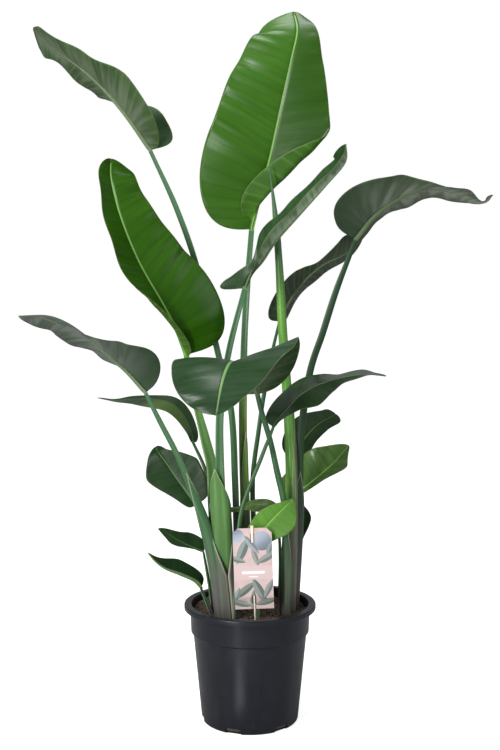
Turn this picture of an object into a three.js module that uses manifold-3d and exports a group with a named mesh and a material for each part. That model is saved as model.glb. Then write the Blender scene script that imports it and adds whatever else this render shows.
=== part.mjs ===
// A potted strelitzia: three fans of paddle leaves on long stalks, in a black nursery pot with
// a plant label on a stick. Millimetres, +Z up. The origin is on the surface that the pot
// stands on, under the middle of the pot. -Y is the front.
import * as THREE from 'three';
import { mergeVertices } from 'three/addons/utils/BufferGeometryUtils.js';
import Module from 'manifold-3d';

const wasm = await Module();
wasm.setup();

// Pot
const POT_HEIGHT = 217;
const RIM_RADIUS = 120;
const LIP_HEIGHT = 9;
const LIP_THICK = 2.4;
const COLLAR_RADIUS = 109.5;
const COLLAR_FOOT_RADIUS = 107.5;
const COLLAR_BOTTOM = 166;
const STEP_HEIGHT = 3;
const BODY_TOP_RADIUS = 103.6;
const BASE_RADIUS = 88.5;
const WALL = 3;
const FLOOR = 5;
const FOOT_ROUNDING = 5;
const NOTCH_WIDTH = 28;
const NOTCH_HEIGHT = 11;
const NOTCH_DEPTH = 14;
const NOTCH_COUNT = 6;
const NOTCH_TURN = -20;
const POT_SIDES = 48;

// Soil, and the room that each piece keeps to the next
const SOIL_LEVEL = 198;
const SOIL_RINGS = 4;
const SOIL_HEAPS = [[-70, 62, 46, 9], [60, -62, 40, 3], [-18, -92, 34, -3], [88, 40, 30, 4], [18, 96, 40, 3]];
const CLEARANCE = 0.4;
const STALK_DEPTH = 45;
const HOLE_TOP = 8;

// Label and stick. The card passes from behind the stick to in front of it and back, through
// two slots, and it leans to its right.
const CARD_WIDTH = 69;
const CARD_HEIGHT = 146;
const CARD_THICK = 0.8;
const CARD_MIDDLE = [5.8, -61, 295];
const CARD_LEAN = 2;
const CARD_CHAMFER = 9;
const CARD_OFFSET = 1.9;
const SLOT_WIDTH = 7;
const SLOT_HEIGHT = 16;
const SLOT_MIDDLE = 55.5;
const BEND_REACH = 7;
const STICK_WIDTH = 5;
const STICK_THICK = 2;
const STICK_ABOVE = 5;
const STICK_BELOW = 82;

// Leaves
const BLADE_THICK = 0.9;
const RIB_HALF_WIDTH = 5;
const KEEL = [5, 1];
const LEAST_HALF_WIDTH = 0.9;
const LOBE_END = 0.3;
const BEND_STEPS = 24;
const STALK_SWEEP = 1.3;

const COLOURS = {
  pot: [0x24262b, 0.5],
  soil: [0x2a1d16, 0.95],
  card: [0xe7bdb4, 0.55],
  stick: [0xe4cfae, 0.7],
  bright: [0x3f7a2c, 0.35],
  dark: [0x2c4a33, 0.4],
  spear: [0x5d8a5a, 0.45],
};

// One row a leaf. stalk: points from the soil to the blade. rib: points from the blade's base
// to its tip, starting where the stalk ends. face: which way the upper side looks, from the
// base to the tip. Pairs are for the left and the right half, as the upper side shows them
// with the tip up. width: half widths. shape: how early and how late the blade is widest.
// lobe and slant: how far the margin reaches back at the base and forward over the rest, as
// shares of the half width. trim: what the width is multiplied by, evenly spaced from the base
// to the tip. fold: degrees that a half is raised at the rib. curl: degrees that it turns on to
// its margin. roll: [degrees, start, end, softness] of a rolled lobe. Its edge crosses from the
// rib at the start to the margin at the end, as shares of the blade.
// stem: half width and half depth of the stalk from the soil up.
const LEAVES = [
  {
    name: 'leaf_tall_centre', colour: 'bright', columns: 5, rows: 13, stalkRows: 7,
    stalk: [[-3, 44, 212], [-9, 44, 360], [-13, 44, 530], [-11, 46, 677], [-5, 50, 794],
      [3, 56, 895]],
    rib: [[3, 56, 895], [19, 46, 961], [37, 38, 1029], [56, 38, 1117], [74, 48, 1197],
      [85, 66, 1250], [80, 98, 1290]],
    face: [[0.1, -1, 0.1], [0, -1, 0.1], [0, -1, 0.2], [0, -0.8, 0.6]],
    width: [122, 104], shape: [0.38, 0.5], lobe: [0.3, 0.3], slant: 0.35,
    trim: [[1.05, 1.13, 0.94, 0.87, 0.84, 0.9, 1.3], [0.14, 0.7, 0.95, 0.83, 0.69, 0.58, 0.45]],
    fold: [[12, 12, 8, 5], [15, 12, 10, 10]], curl: [[-20, -20, -30, -30], [0, -20]],
    roll: [[0, 0, 1, 1], [165, 0.07, 0.38, 0.15]],
    stem: [[8, 7], [8, 6.5], [7.5, 6], [6, 5.5], [5, 5]],
  },
  {
    name: 'leaf_left', colour: 'bright', columns: 4, rows: 12, stalkRows: 7,
    stalk: [[-48, -6, 212], [-57, -6, 300], [-66, -8, 447], [-80, -14, 519], [-94, -20, 577],
      [-106, -24, 636], [-113, -22, 672]],
    rib: [[-113, -22, 672], [-130, -34, 720], [-152, -42, 763], [-193, -50, 837], [-224, -45, 913],
      [-242, -25, 978], [-246, 5, 1018]],
    face: [[0.2, -1, 0.2], [0.1, -1, 0.25]],
    width: [78, 106], shape: [0.3, 0.65], lobe: [0.3, 0.18], slant: 0.45,
    trim: [[0.3, 0.4, 0.72, 0.77, 0.68, 0.72, 0.9], [1.08, 0.98, 0.79, 0.73, 0.69, 0.8, 1.2]],
    fold: [[55, 50, 50, 45, 40], [8, 6, 4, 4]], curl: [[0, 0], [-25, -25]],
    roll: [[80, 0, 0.3, 0.3], [0, 0, 1, 1]],
    stem: [[12, 8], [15, 9], [14, 9], [9.5, 7], [6.5, 5.5], [5, 4.5]],
  },
  {
    name: 'leaf_upper_left', colour: 'dark', columns: 4, rows: 12, stalkRows: 7,
    stalk: [[-20, 32, 212], [-23, 32, 324], [-26, 30, 437], [-33, 28, 567], [-58, 28, 677],
      [-94, 30, 825], [-131, 34, 932], [-178, 40, 1037]],
    rib: [[-178, 40, 1037], [-215, 32, 1090], [-250, 28, 1132], [-286, 26, 1167], [-321, 30, 1194],
      [-356, 40, 1221], [-387, 55, 1249]],
    face: [[0.78, 0.34, 0.53], [0.69, 0.34, 0.64], [0.52, 0.34, 0.75]],
    width: [80, 80], shape: [0.35, 0.45], lobe: [0.5, 0.5], slant: 0.45,
    trim: [[0.5, 0.98, 0.95, 0.82, 0.7, 0.85, 0.6], [1, 0.82, 0.76, 0.78, 0.6, 0.76, 1.7]],
    fold: [[18, 10, -4, -10, -10], [105, 90, 28, -2, -6, -8, -10, -10, -10]],
    curl: [[10, 10], [10, 10]],
    roll: [[0, 0, 1, 1], [0, 0, 1, 1]], stem: [[8, 7], [8.5, 7.5], [8, 7], [7.5, 6.5], [5.5, 5.5]],
  },
  {
    name: 'leaf_upper_right', colour: 'dark', columns: 4, rows: 12, stalkRows: 7,
    stalk: [[80, 24, 212], [88, 24, 366], [91, 22, 514], [106, 18, 633], [130, 17, 710],
      [154, 18, 786], [188, 20, 877]],
    rib: [[188, 20, 877], [217, 23, 914], [246, 28, 938], [276, 35, 954], [324, 45, 968],
      [369, 52, 961], [403, 56, 946], [424, 56, 943], [440, 54, 957]],
    face: [[-0.75, 0.4, 0.56], [-0.4, 0.35, 0.8], [0, 0.34, 0.94], [0.12, 0.2, 0.97],
      [0.25, 0.05, 0.97]],
    width: [76, 76], shape: [0.28, 0.6], lobe: [0.5, 0.25], slant: 0.45,
    trim: [[0.8, 1.0, 1.35, 1.35, 1.15, 0.8, 0.8], [1.0, 1.3, 0.95, 0.76, 0.79, 0.82, 0.95, 1, 1]],
    fold: [[12, 5, 5, 0], [38, 14, -14, -6, 4]], curl: [[0, 0], [0, 0]],
    roll: [[0, 0, 1, 1], [0, 0, 1, 1]], stem: [[9, 8], [9.5, 8.5], [9, 8], [8.5, 7.5], [6.5, 6]],
  },
  {
    name: 'leaf_narrow', colour: 'dark', columns: 3, rows: 10, stalkRows: 6,
    stalk: [[-36, -30, 212], [-42, -32, 285], [-50, -35, 394], [-54, -33, 502], [-52, -30, 582],
      [-37, -24, 680], [-9, -24, 790]],
    rib: [[-9, -24, 790], [2, -30, 816], [20, -40, 838], [44, -52, 873], [85, -60, 918],
      [130, -66, 967], [162, -68, 1005], [163, -66, 1036]],
    face: [[0, -1, 0.2], [-0.65, -0.5, 0.5], [-0.7, -0.16, 0.68], [-0.7, -0.16, 0.68],
      [-0.7, -0.16, 0.68]],
    width: [60, 60], shape: [0.3, 0.55], lobe: [0.6, 0.4], slant: 0.45,
    trim: [[1.4, 0.28, 0.7, 0.75, 0.75, 0.8, 0.85, 1.1, 2.2],
      [0.05, 0.3, 0.4, 0.36, 0.32, 0.32, 0.4, 0.5, 0.8]],
    fold: [[0, 12, 24, 26, 26, 24, 15], [60, 65, 65, 60, 60, 50, 30]], curl: [[0, 0], [0, 0]],
    roll: [[0, 0, 1, 1], [0, 0, 1, 1]],
    stem: [[9, 7], [9, 7.5], [8, 7], [7, 6.5], [5.5, 5.5], [4.5, 4.5]],
  },
  {
    name: 'leaf_lower_left', colour: 'dark', columns: 3, rows: 10, stalkRows: 6,
    stalk: [[-54, -34, 212], [-62, -36, 283], [-77, -38, 358], [-96, -42, 414], [-127, -48, 496],
      [-158, -56, 560], [-181, -62, 610]],
    rib: [[-181, -62, 610], [-212, -66, 646], [-236, -72, 668], [-270, -80, 700], [-296, -84, 722],
      [-322, -90, 738], [-350, -94, 746], [-394, -100, 745]],
    face: [[0.68, 0.45, 0.63], [0.6, 0.36, 0.78], [0.5, 0.3, 0.83], [0.3, 0.26, 0.93],
      [0.1, 0.21, 0.97]],
    width: [74, 74], shape: [0.35, 0.55], lobe: [0.1, 0.1], slant: 0.45,
    trim: [[0.8, 1.25, 0.92, 0.88, 1, 1.1, 1.4], [1, 1, 1, 1, 1.25, 1.4, 2.2]],
    fold: [[55, 12, -14, -16, -10], [60, 0, -14, -10, -5]], curl: [[0, 0], [0, 0]],
    roll: [[0, 0, 1, 1], [0, 0, 1, 1]], stem: [[9, 7], [10, 7.5], [8, 7], [6.5, 6], [5.5, 5]],
  },
  {
    name: 'leaf_thin_left', colour: 'dark', columns: 3, rows: 9, stalkRows: 5,
    stalk: [[-45, 28, 212], [-52, 30, 288], [-66, 32, 400], [-83, 34, 459], [-104, 36, 507]],
    rib: [[-104, 36, 507], [-108, 37, 528], [-122, 39, 557], [-142, 42, 577], [-170, 46, 585],
      [-215, 52, 585], [-250, 58, 582], [-284, 64, 586]],
    face: [[0.65, -0.4, 0.6], [0.5, -0.3, 0.8], [0.1, -0.1, 0.99]],
    width: [34, 24], shape: [0.35, 0.8], lobe: [0.4, 0.4], slant: 0.45,
    trim: [[0.4, 0.8, 1.25, 1.3, 1, 0.9, 1], [1, 1, 1, 0.75, 0.65, 0.9, 1]],
    fold: [[0, 0], [5, 5]], curl: [[0, 0], [0, 0]],
    roll: [[0, 0, 1, 1], [0, 0, 1, 1]], stem: [[6, 5], [5.5, 5], [4.5, 4], [3.5, 3.5]],
  },
  {
    name: 'leaf_front', colour: 'dark', columns: 4, rows: 12, stalkRows: 7,
    stalk: [[66, -18, 212], [66, -20, 316], [62, -24, 400], [48, -32, 465], [36, -38, 520],
      [21, -45, 571], [13, -50, 605]],
    rib: [[13, -50, 605], [0, -90, 643], [-15, -135, 666], [-30, -180, 673], [-39, -220, 662],
      [-46, -255, 639], [-53, -290, 599]],
    face: [[-0.15, 0, 1], [-0.15, 0, 1]],
    width: [100, 100], shape: [0.35, 0.5], lobe: [0.1, 0.1], slant: 0.45,
    trim: [[0.75, 1.15, 1.2, 1.05, 1], [0.9, 0.95, 0.95, 0.95, 1]],
    fold: [[12, 12], [20, 20]], curl: [[0, 0], [-22, -22]],
    roll: [[0, 0, 1, 1], [0, 0, 1, 1]], stem: [[7, 6], [7, 6], [6, 5.5], [5, 5], [4.5, 4.5]],
  },
  {
    name: 'leaf_right_middle', colour: 'dark', columns: 3, rows: 10, stalkRows: 6,
    stalk: [[-29, -46, 212], [-25, -46, 308], [-18, -49, 389], [-2, -57, 442], [16, -68, 489],
      [31, -78, 530], [39, -84, 553]],
    rib: [[39, -84, 553], [51, -87, 570], [69, -90, 591], [86, -93, 609], [112, -97, 625],
      [143, -101, 636], [171, -103, 643], [198, -105, 646], [232, -107, 643]],
    face: [[-0.65, -0.19, 0.74], [-0.6, -0.19, 0.8], [-0.2, -0.08, 0.98], [0, -0.03, 1]],
    width: [52, 62], shape: [0.3, 0.55], lobe: [0.3, 0.3], slant: 0.45,
    trim: [[1, 1.35, 1.5, 1.6, 1.65, 1.9, 1.5], [0.3, 0.55, 0.97, 0.85, 0.4, 0.45, 0.6]],
    fold: [[20, -5, -5, 0], [0, -14, -12, 5]], curl: [[0, 0], [0, 0]],
    roll: [[0, 0, 1, 1], [0, 0, 1, 1]], stem: [[6, 5], [6, 5.5], [5.5, 5], [4.5, 4.5]],
  },
  {
    name: 'leaf_behind_right', colour: 'dark', columns: 3, rows: 9, stalkRows: 6,
    stalk: [[11, 60, 212], [7, 60, 318], [4, 60, 432], [15, 62, 525], [26, 64, 598], [41, 68, 674],
      [53, 72, 727]],
    rib: [[53, 72, 727], [74, 76, 768], [98, 82, 800], [133, 90, 830], [174, 100, 850],
      [200, 108, 872], [216, 112, 900]],
    face: [[-0.66, 0.34, 0.66], [-0.66, 0.34, 0.66]],
    width: [54, 54], shape: [0.3, 0.55], lobe: [0.5, 0.3], slant: 0.45,
    trim: [[0.8, 0.9, 0.9, 0.85, 0.8, 0.8, 1], [1.25, 1.2, 0.65, 0.35, 1.1, 1.05, 1]],
    fold: [[0, 0], [12, 12]], curl: [[0, 0], [0, 0]],
    roll: [[0, 0, 1, 1], [0, 0, 1, 1]], stem: [[7, 6], [7, 6], [6, 5.5], [5.5, 5], [4, 4]],
  },
  {
    name: 'leaf_right_back', colour: 'dark', columns: 3, rows: 8, stalkRows: 5,
    stalk: [[70, 66, 212], [75, 84, 315], [82, 116, 405], [92, 140, 465]],
    rib: [[92, 140, 465], [105, 150, 495], [131, 164, 521], [167, 176, 541]],
    face: [[-0.4, -0.6, 0.7], [-0.4, -0.6, 0.7]],
    width: [45, 45], shape: [0.4, 0.5], lobe: [0.4, 0.4], slant: 0.4,
    trim: [[1.1, 1.15, 1.05, 0.92, 0.78, 0.75, 1], [1, 1, 1, 1.05, 1.2, 1.4, 1.6]],
    fold: [[10, 10], [20, 20]], curl: [[0, 0], [0, 0]],
    roll: [[0, 0, 1, 1], [0, 0, 1, 1]], stem: [[6, 5], [5.5, 5], [4.5, 4.5], [4, 4]],
  },
  {
    name: 'leaf_right_glossy', colour: 'bright', columns: 3, rows: 9, stalkRows: 5,
    stalk: [[62, 44, 212], [64, 50, 282], [68, 58, 356], [74, 66, 398]],
    rib: [[74, 66, 398], [95, 74, 410], [115, 80, 424], [136, 88, 440], [160, 96, 460],
      [187, 104, 490]],
    face: [[-0.3, -0.8, 0.5], [-0.3, -0.8, 0.5]],
    width: [52, 50], shape: [0.4, 0.6], lobe: [0.5, 0.3], slant: 0.4,
    trim: [[1, 1, 1, 0.95, 0.85, 0.8], [0.4, 0.65, 1.1, 1.3, 1.0, 0.85]],
    fold: [[10, 10], [48, 42]], curl: [[0, 0], [0, 0]],
    roll: [[0, 0, 1, 1], [0, 0, 1, 1]], stem: [[7.5, 6], [7.5, 6], [5.5, 5], [4, 4]],
  },
  {
    name: 'leaf_left_round', colour: 'dark', columns: 3, rows: 8, stalkRows: 4,
    stalk: [[-60, 10, 212], [-71, 12, 277], [-84, 16, 330], [-100, 22, 393]],
    rib: [[-100, 22, 393], [-117, 28, 416], [-136, 34, 441], [-154, 42, 466], [-169, 52, 484],
      [-176, 64, 494]],
    face: [[0, -1, 0.15], [0, -1, 0.15]],
    width: [38, 46], shape: [0.35, 0.5], lobe: [0.2, 0.2], slant: 0.4,
    trim: [[0.6, 0.7, 1.0, 1.25, 1.2, 1.0, 0.7], [1.1, 1.15, 1.15, 0.95, 0.72, 0.5, 0.55]],
    fold: [[5, 5], [5, 5]], curl: [[0, 0], [0, 0]],
    roll: [[0, 0, 1, 1], [0, 0, 1, 1]], stem: [[4, 3.5], [3.5, 3.5], [3, 3]],
  },
  {
    name: 'leaf_low_left', colour: 'dark', columns: 3, rows: 7, stalkRows: 4,
    stalk: [[-69, -14, 212], [-73, -15, 250], [-84, -15, 315]],
    rib: [[-84, -15, 315], [-106, -19, 325], [-127, -25, 337], [-148, -31, 352], [-164, -35, 362]],
    face: [[0.3, -0.5, 0.8], [0.3, -0.5, 0.8]],
    width: [22, 22], shape: [0.35, 0.7], lobe: [0.2, 0.2], slant: 0.4,
    trim: [[0.1, 0.15, 0.4, 0.85, 1.15, 1.05, 1], [1.6, 1.5, 1.15, 0.95, 0.85, 0.8, 0.8]],
    fold: [[5, 5], [5, 5]], curl: [[0, 0], [0, 0]],
    roll: [[0, 0, 1, 1], [0, 0, 1, 1]], stem: [[4, 3.5], [3.5, 3], [2.5, 2.5]],
  },
  {
    name: 'leaf_lowest_left', colour: 'dark', columns: 3, rows: 7, stalkRows: 3,
    stalk: [[-74, -22, 212], [-78, -22, 222], [-84, -21, 236], [-89, -20, 250]],
    rib: [[-89, -20, 250], [-101, -25, 264], [-126, -35, 278], [-151, -45, 291], [-168, -52, 306],
      [-181, -58, 324]],
    face: [[0.3, -0.6, 0.7], [0.3, -0.6, 0.7]],
    width: [22, 24], shape: [0.35, 0.8], lobe: [0.2, 0.2], slant: 0.4,
    trim: [[1, 1, 1], [1, 1.15, 1.25, 1.15, 1, 0.8, 0.7]],
    fold: [[60, 60], [5, 5]], curl: [[0, 0], [0, 0]],
    roll: [[0, 0, 1, 1], [0, 0, 1, 1]], stem: [[4, 3.5], [3, 3], [2.5, 2.5]],
  },
  {
    name: 'leaf_small_front', colour: 'dark', columns: 3, rows: 7, stalkRows: 4,
    stalk: [[54, -4, 212], [55, -5, 299], [52, -8, 361], [46, -12, 394]],
    rib: [[46, -12, 394], [27, -10, 399], [4, -6, 398], [-20, -6, 392], [-45, -6, 393]],
    face: [[0.3, -0.5, 0.8], [0.1, -0.3, 0.9]],
    width: [23, 21], shape: [0.35, 0.7], lobe: [0.2, 0.2], slant: 0.4,
    trim: [[1, 1.05, 1, 0.6, 0.45, 1.2, 1.9], [0.9, 0.85, 0.75, 0.58, 0.4, 0.35, 0.6]],
    fold: [[5, 5], [5, 5]], curl: [[0, 0], [0, 0]],
    roll: [[0, 0, 1, 1], [0, 0, 1, 1]], stem: [[4, 3.5], [3.5, 3], [2.5, 2.5]],
  },
  {
    name: 'leaf_small_bright', colour: 'bright', columns: 3, rows: 8, stalkRows: 3,
    stalk: [[13, -37, 212], [12, -40, 275], [7, -46, 342]],
    rib: [[7, -46, 342], [21, -45, 359], [39, -43, 379], [57, -41, 397], [76, -38, 416]],
    face: [[0, -1, 0.1], [0, -1, 0.1]],
    width: [33, 36], shape: [0.35, 0.6], lobe: [0.4, 0.4], slant: 0.3,
    trim: [[0.8, 0.85, 0.85, 0.75, 0.65, 0.5, 0.4], [0.5, 0.75, 1, 1.1, 1.15, 1.1, 1]],
    fold: [[10, 10], [10, 10]], curl: [[0, 0], [0, 0]],
    roll: [[0, 0, 1, 1], [0, 0, 1, 1]], stem: [[4.5, 4], [4, 3.5], [3, 3]],
  },
  {
    name: 'leaf_small_back', colour: 'dark', columns: 3, rows: 7, stalkRows: 3,
    stalk: [[82, 40, 212], [85, 41, 249], [88, 42, 293]],
    rib: [[88, 42, 293], [91, 46, 322], [93, 52, 358], [94, 58, 388]],
    face: [[-0.2, -0.9, 0.3], [-0.2, -0.9, 0.3]],
    width: [12, 24], shape: [0.35, 0.6], lobe: [0.2, 0.2], slant: 0.4,
    trim: [[1, 1, 1], [0.1, 0.15, 0.4, 0.75, 1.05, 1.1, 1]],
    fold: [[5, 5], [5, 5]], curl: [[0, 0], [0, 0]],
    roll: [[0, 0, 1, 1], [0, 0, 1, 1]], stem: [[4, 3.5], [3.5, 3], [3, 3]],
  },
];

// The newest leaf, still rolled up into a spear. thick: its radius from the soil up.
const SPEAR = {
  name: 'leaf_spear', colour: 'spear', sides: 10, rows: 12,
  stalk: [[71, 2, 212], [74, 3, 330], [75, 8, 459], [71, 14, 551], [65, 17, 633], [59, 16, 714],
    [53, 12, 821], [46, 8, 909], [35, 4, 999]],
  thick: [10.5, 11, 10, 8.8, 8.2, 6.5, 1.5],
};

const { clamp, degToRad, smoothstep } = THREE.MathUtils;
const vector = (point) => new THREE.Vector3(...point);

// A smooth line through points, read at a share of its length. It runs on straight before 0.
class Line {
  constructor(points) {
    this.curve = new THREE.CatmullRomCurve3(points.map(vector), false, 'catmullrom', 0.5);
    this.curve.arcLengthDivisions = 400;
    this.length = this.curve.getLength();
    this.start = this.tangent(0);
  }

  at(share) {
    const point = this.curve.getPointAt(clamp(share, 0, 1));
    return share < 0 ? point.addScaledVector(this.start, share * this.length) : point;
  }

  tangent(share) {
    const here = clamp(share, 0, 1);
    const before = this.curve.getPointAt(Math.max(0, here - 0.004));
    return this.curve.getPointAt(Math.min(1, here + 0.004)).sub(before).normalize();
  }
}

// Reads evenly spaced values, numbers or lists, at a share, eased from each to the next.
function along(values, share) {
  const place = clamp(share, 0, 1) * (values.length - 1);
  const i = Math.min(Math.floor(place), values.length - 2);
  const k = smoothstep(place - i, 0, 1);
  const mix = (a, b) => a + (b - a) * k;
  const [a, b] = [values[i], values[i + 1]];
  return Array.isArray(a) ? a.map((x, n) => mix(x, b[n])) : mix(a, b);
}

const squared = (up, forward) => up.clone().addScaledVector(forward, -up.dot(forward)).normalize();

// Where a point of the blade lies across its rib, as shares of the half width: [out, up].
function bend(leaf, half, t, v) {
  const fold = along(leaf.fold[half], t);
  const curl = along(leaf.curl[half], t);
  const [turn, start, end, soft] = leaf.roll[half];
  let out = 0;
  let up = 0;
  for (let i = 0; i < BEND_STEPS; i++) {
    const k = ((i + 0.5) / BEND_STEPS) * v;
    const roll = turn * smoothstep(k - (t - start) / (end - start), -soft, soft);
    const angle = degToRad(fold + curl * k + roll);
    out += (Math.cos(angle) * v) / BEND_STEPS;
    up += (Math.sin(angle) * v) / BEND_STEPS;
  }
  return [out, up];
}

// A smooth curve through evenly spaced numbers, read at a share of its length.
function trimAt(values, share) {
  const points = values.map((value, i) => new THREE.Vector2(i, value));
  return new THREE.SplineCurve(points).getPoint(clamp(share, 0, 1)).y;
}

function halfWidth(leaf, half, t) {
  const [a, b] = leaf.shape;
  const widest = a / (a + b);
  const share = (t / widest) ** a * ((1 - t) / (1 - widest)) ** b;
  return Math.max(LEAST_HALF_WIDTH, leaf.width[half] * share * trimAt(leaf.trim[half], t));
}

// A point of the blade. v runs from -1 at the left margin over 0 at the rib to 1.
function bladePoint(leaf, rib, t, v) {
  const half = v < 0 ? 0 : 1;
  const wide = halfWidth(leaf, half, t);
  const lobe = leaf.lobe[half];
  const lean = -lobe + (lobe + leaf.slant) * smoothstep(t, 0, LOBE_END) - leaf.slant * t ** 3;
  const s = Math.min(1, t + (Math.abs(v) * lean * wide) / rib.length);
  const forward = rib.tangent(s);
  const up = squared(vector(along(leaf.face, s)), forward);
  const right = forward.clone().cross(up);
  const [out, rise] = bend(leaf, half, t, Math.abs(v));
  return rib.at(s)
    .addScaledVector(right, Math.sign(v) * out * wide)
    .addScaledVector(up, rise * wide);
}

// Places of the columns on one half: the rib's edge, then even steps to the margin.
function columnsOf(leaf, half, t) {
  const edge = Math.min(0.5, RIB_HALF_WIDTH / halfWidth(leaf, half, t));
  const places = [0];
  for (let i = 0; i < leaf.columns; i++) places.push(edge + ((1 - edge) * i) / (leaf.columns - 1));
  return places;
}

// The blade's upper points, row by row from near the base to the tip.
function bladeRows(leaf, rib) {
  const rows = [];
  for (let i = 1; i <= leaf.rows; i++) {
    const x = i / leaf.rows;
    const t = 0.5 * (x + (1 - Math.cos(Math.PI * x)) / 2);
    const left = columnsOf(leaf, 0, t).slice(1).reverse().map((v) => -v);
    const places = [...left, ...columnsOf(leaf, 1, t)];
    rows.push({ t, points: places.map((v) => bladePoint(leaf, rib, t, v)) });
  }
  return rows;
}

// A ring round the blade: its upper points, then the same ones lowered by the thickness. The
// rib is thicker and makes a keel below.
function bladeRing(rows, i, leaf, rib) {
  const { t, points } = rows[i];
  const before = rows[Math.max(0, i - 1)].points;
  const after = rows[Math.min(rows.length - 1, i + 1)].points;
  const lowered = points.map((point, j) => {
    if (j === leaf.columns) {
      const up = squared(vector(along(leaf.face, t)), rib.tangent(t));
      return point.clone().addScaledVector(up, -along(KEEL, t));
    }
    const across = points[Math.min(points.length - 1, j + 1)].clone().sub(points[Math.max(0, j - 1)]);
    const normal = across.cross(after[j].clone().sub(before[j])).normalize();
    return point.clone().addScaledVector(normal, -BLADE_THICK);
  });
  return [...points, ...lowered.reverse()];
}

// A ring round the stalk with the same count of points, flat or channelled above.
function stalkRing(columns, [wide, deep], channel, centre, up, forward) {
  const right = forward.clone().cross(up);
  const upper = [];
  const under = [];
  for (let j = -columns; j <= columns; j++) {
    const angle = (j / columns) * STALK_SWEEP;
    const side = centre.clone().addScaledVector(right, wide * Math.sin(angle));
    const dip = 0.5 - channel * Math.cos(angle) ** 2;
    upper.push(side.clone().addScaledVector(up, deep * dip));
    under.push(side.clone().addScaledVector(up, -deep * Math.cos(angle)));
  }
  return [...upper, ...under.reverse()];
}

// The stalk's directions from its top down, so that it doesn't twist: [{ share, up, forward }].
function stalkFrames(leaf, stalk) {
  const frames = [];
  let up = vector(leaf.face[0]);
  for (let i = leaf.stalkRows; i >= 0; i--) {
    const share = i / leaf.stalkRows;
    const forward = stalk.tangent(share);
    up = squared(up, forward);
    frames.unshift({ share, up, forward });
  }
  return frames;
}

function stalkRings(leaf, stalk) {
  const frames = stalkFrames(leaf, stalk);
  const ring = ({ share, up, forward }, centre) =>
    stalkRing(leaf.columns, along(leaf.stem, share), 0.3, centre, up, forward);
  const { up, forward } = frames[0];
  const foot = stalk.at(0).addScaledVector(forward, -STALK_DEPTH);
  return [ring({ share: 0, up, forward }, foot), ...frames.map((f) => ring(f, stalk.at(f.share)))];
}

// The room for the stalk in the soil.
function leafHole(leaf) {
  const stalk = new Line(leaf.stalk);
  const { up, forward } = stalkFrames(leaf, stalk)[0];
  const size = leaf.stem[0].map((x) => x + CLEARANCE);
  const ends = [-STALK_DEPTH - CLEARANCE, HOLE_TOP].map((reach) =>
    stalkRing(leaf.columns, size, 0, stalk.at(0).addScaledVector(forward, reach), up, forward));
  return toSolid(shell(ends));
}

function leafGeometry(leaf) {
  const stalk = new Line(leaf.stalk);
  const rib = new Line(leaf.rib);
  const rows = bladeRows(leaf, rib);
  const blade = rows.map((_, i) => bladeRing(rows, i, leaf, rib));
  return shell([...stalkRings(leaf, stalk), ...blade]);
}

// Closes rings into a body. Each ring holds its upper points and then its under ones backwards,
// and both faces are split along the same, shorter diagonal.
function shell(rings) {
  const count = rings[0].length;
  const last = count / 2 - 1;
  const index = [];
  const at = (row, k) => row * count + (k % count);
  const quad = (a, b, c, d, rising) => index.push(...(rising ? [a, b, c, a, c, d] : [a, b, d, b, c, d]));
  for (let row = 0; row < rings.length - 1; row++) {
    const strip = (k, rising) =>
      quad(at(row, k), at(row, k + 1), at(row + 1, k + 1), at(row + 1, k), rising);
    const [here, next] = [rings[row], rings[row + 1]];
    for (let k = 0; k < last; k++) {
      const rising = here[k].distanceTo(next[k + 1]) < here[k + 1].distanceTo(next[k]);
      strip(k, rising);
      strip(count - 2 - k, !rising);
    }
    strip(last, true);
    strip(count - 1, true);
  }
  const end = rings.length - 1;
  for (let k = 0; k < last; k++) {
    quad(at(0, k), at(0, count - 1 - k), at(0, count - 2 - k), at(0, k + 1), true);
    quad(at(end, k), at(end, k + 1), at(end, count - 2 - k), at(end, count - 1 - k), true);
  }
  const geometry = new THREE.BufferGeometry().setFromPoints(rings.flat());
  return geometry.setIndex(index);
}

// Rings of the spear, which is round all the way and ends in a point too small to see.
function spearRing(stalk, share, centre, extra) {
  const forward = stalk.tangent(share);
  const right = forward.clone().cross(new THREE.Vector3(0, -1, 0)).normalize();
  const up = right.clone().cross(forward);
  const radius = along(SPEAR.thick, share) + extra;
  const points = [];
  for (let i = 0; i < SPEAR.sides; i++) {
    const angle = ((i + 0.5) / SPEAR.sides) * 2 * Math.PI;
    points.push(centre.clone()
      .addScaledVector(right, -radius * Math.cos(angle))
      .addScaledVector(up, radius * Math.sin(angle)));
  }
  return points;
}

function spearGeometry() {
  const stalk = new Line(SPEAR.stalk);
  const foot = stalk.at(0).addScaledVector(stalk.start, -STALK_DEPTH);
  const rings = [spearRing(stalk, 0, foot, 0)];
  for (let i = 0; i <= SPEAR.rows; i++) {
    rings.push(spearRing(stalk, i / SPEAR.rows, stalk.at(i / SPEAR.rows), 0));
  }
  return shell(rings);
}

function spearHole() {
  const stalk = new Line(SPEAR.stalk);
  const ends = [-STALK_DEPTH - CLEARANCE, HOLE_TOP].map((reach) =>
    spearRing(stalk, 0, stalk.at(0).addScaledVector(stalk.start, reach), CLEARANCE));
  return toSolid(shell(ends));
}

// Between three.js geometry and solids that can be cut.
function toSolid(geometry) {
  const bare = geometry.clone();
  bare.deleteAttribute('normal');
  bare.deleteAttribute('uv');
  const merged = mergeVertices(bare, 1e-4);
  return new wasm.Manifold(new wasm.Mesh({
    numProp: 3,
    vertProperties: new Float32Array(merged.attributes.position.array),
    triVerts: new Uint32Array(merged.index.array),
  }));
}

function fromSolid(solid) {
  const mesh = solid.getMesh();
  const geometry = new THREE.BufferGeometry();
  geometry.setAttribute('position', new THREE.BufferAttribute(mesh.vertProperties, 3));
  geometry.setIndex(new THREE.BufferAttribute(mesh.triVerts, 1));
  return geometry;
}

// A box in its own frame, placed by a matrix.
function boxAt(width, depth, height, matrix) {
  return toSolid(new THREE.BoxGeometry(width, depth, height).applyMatrix4(matrix));
}

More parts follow.
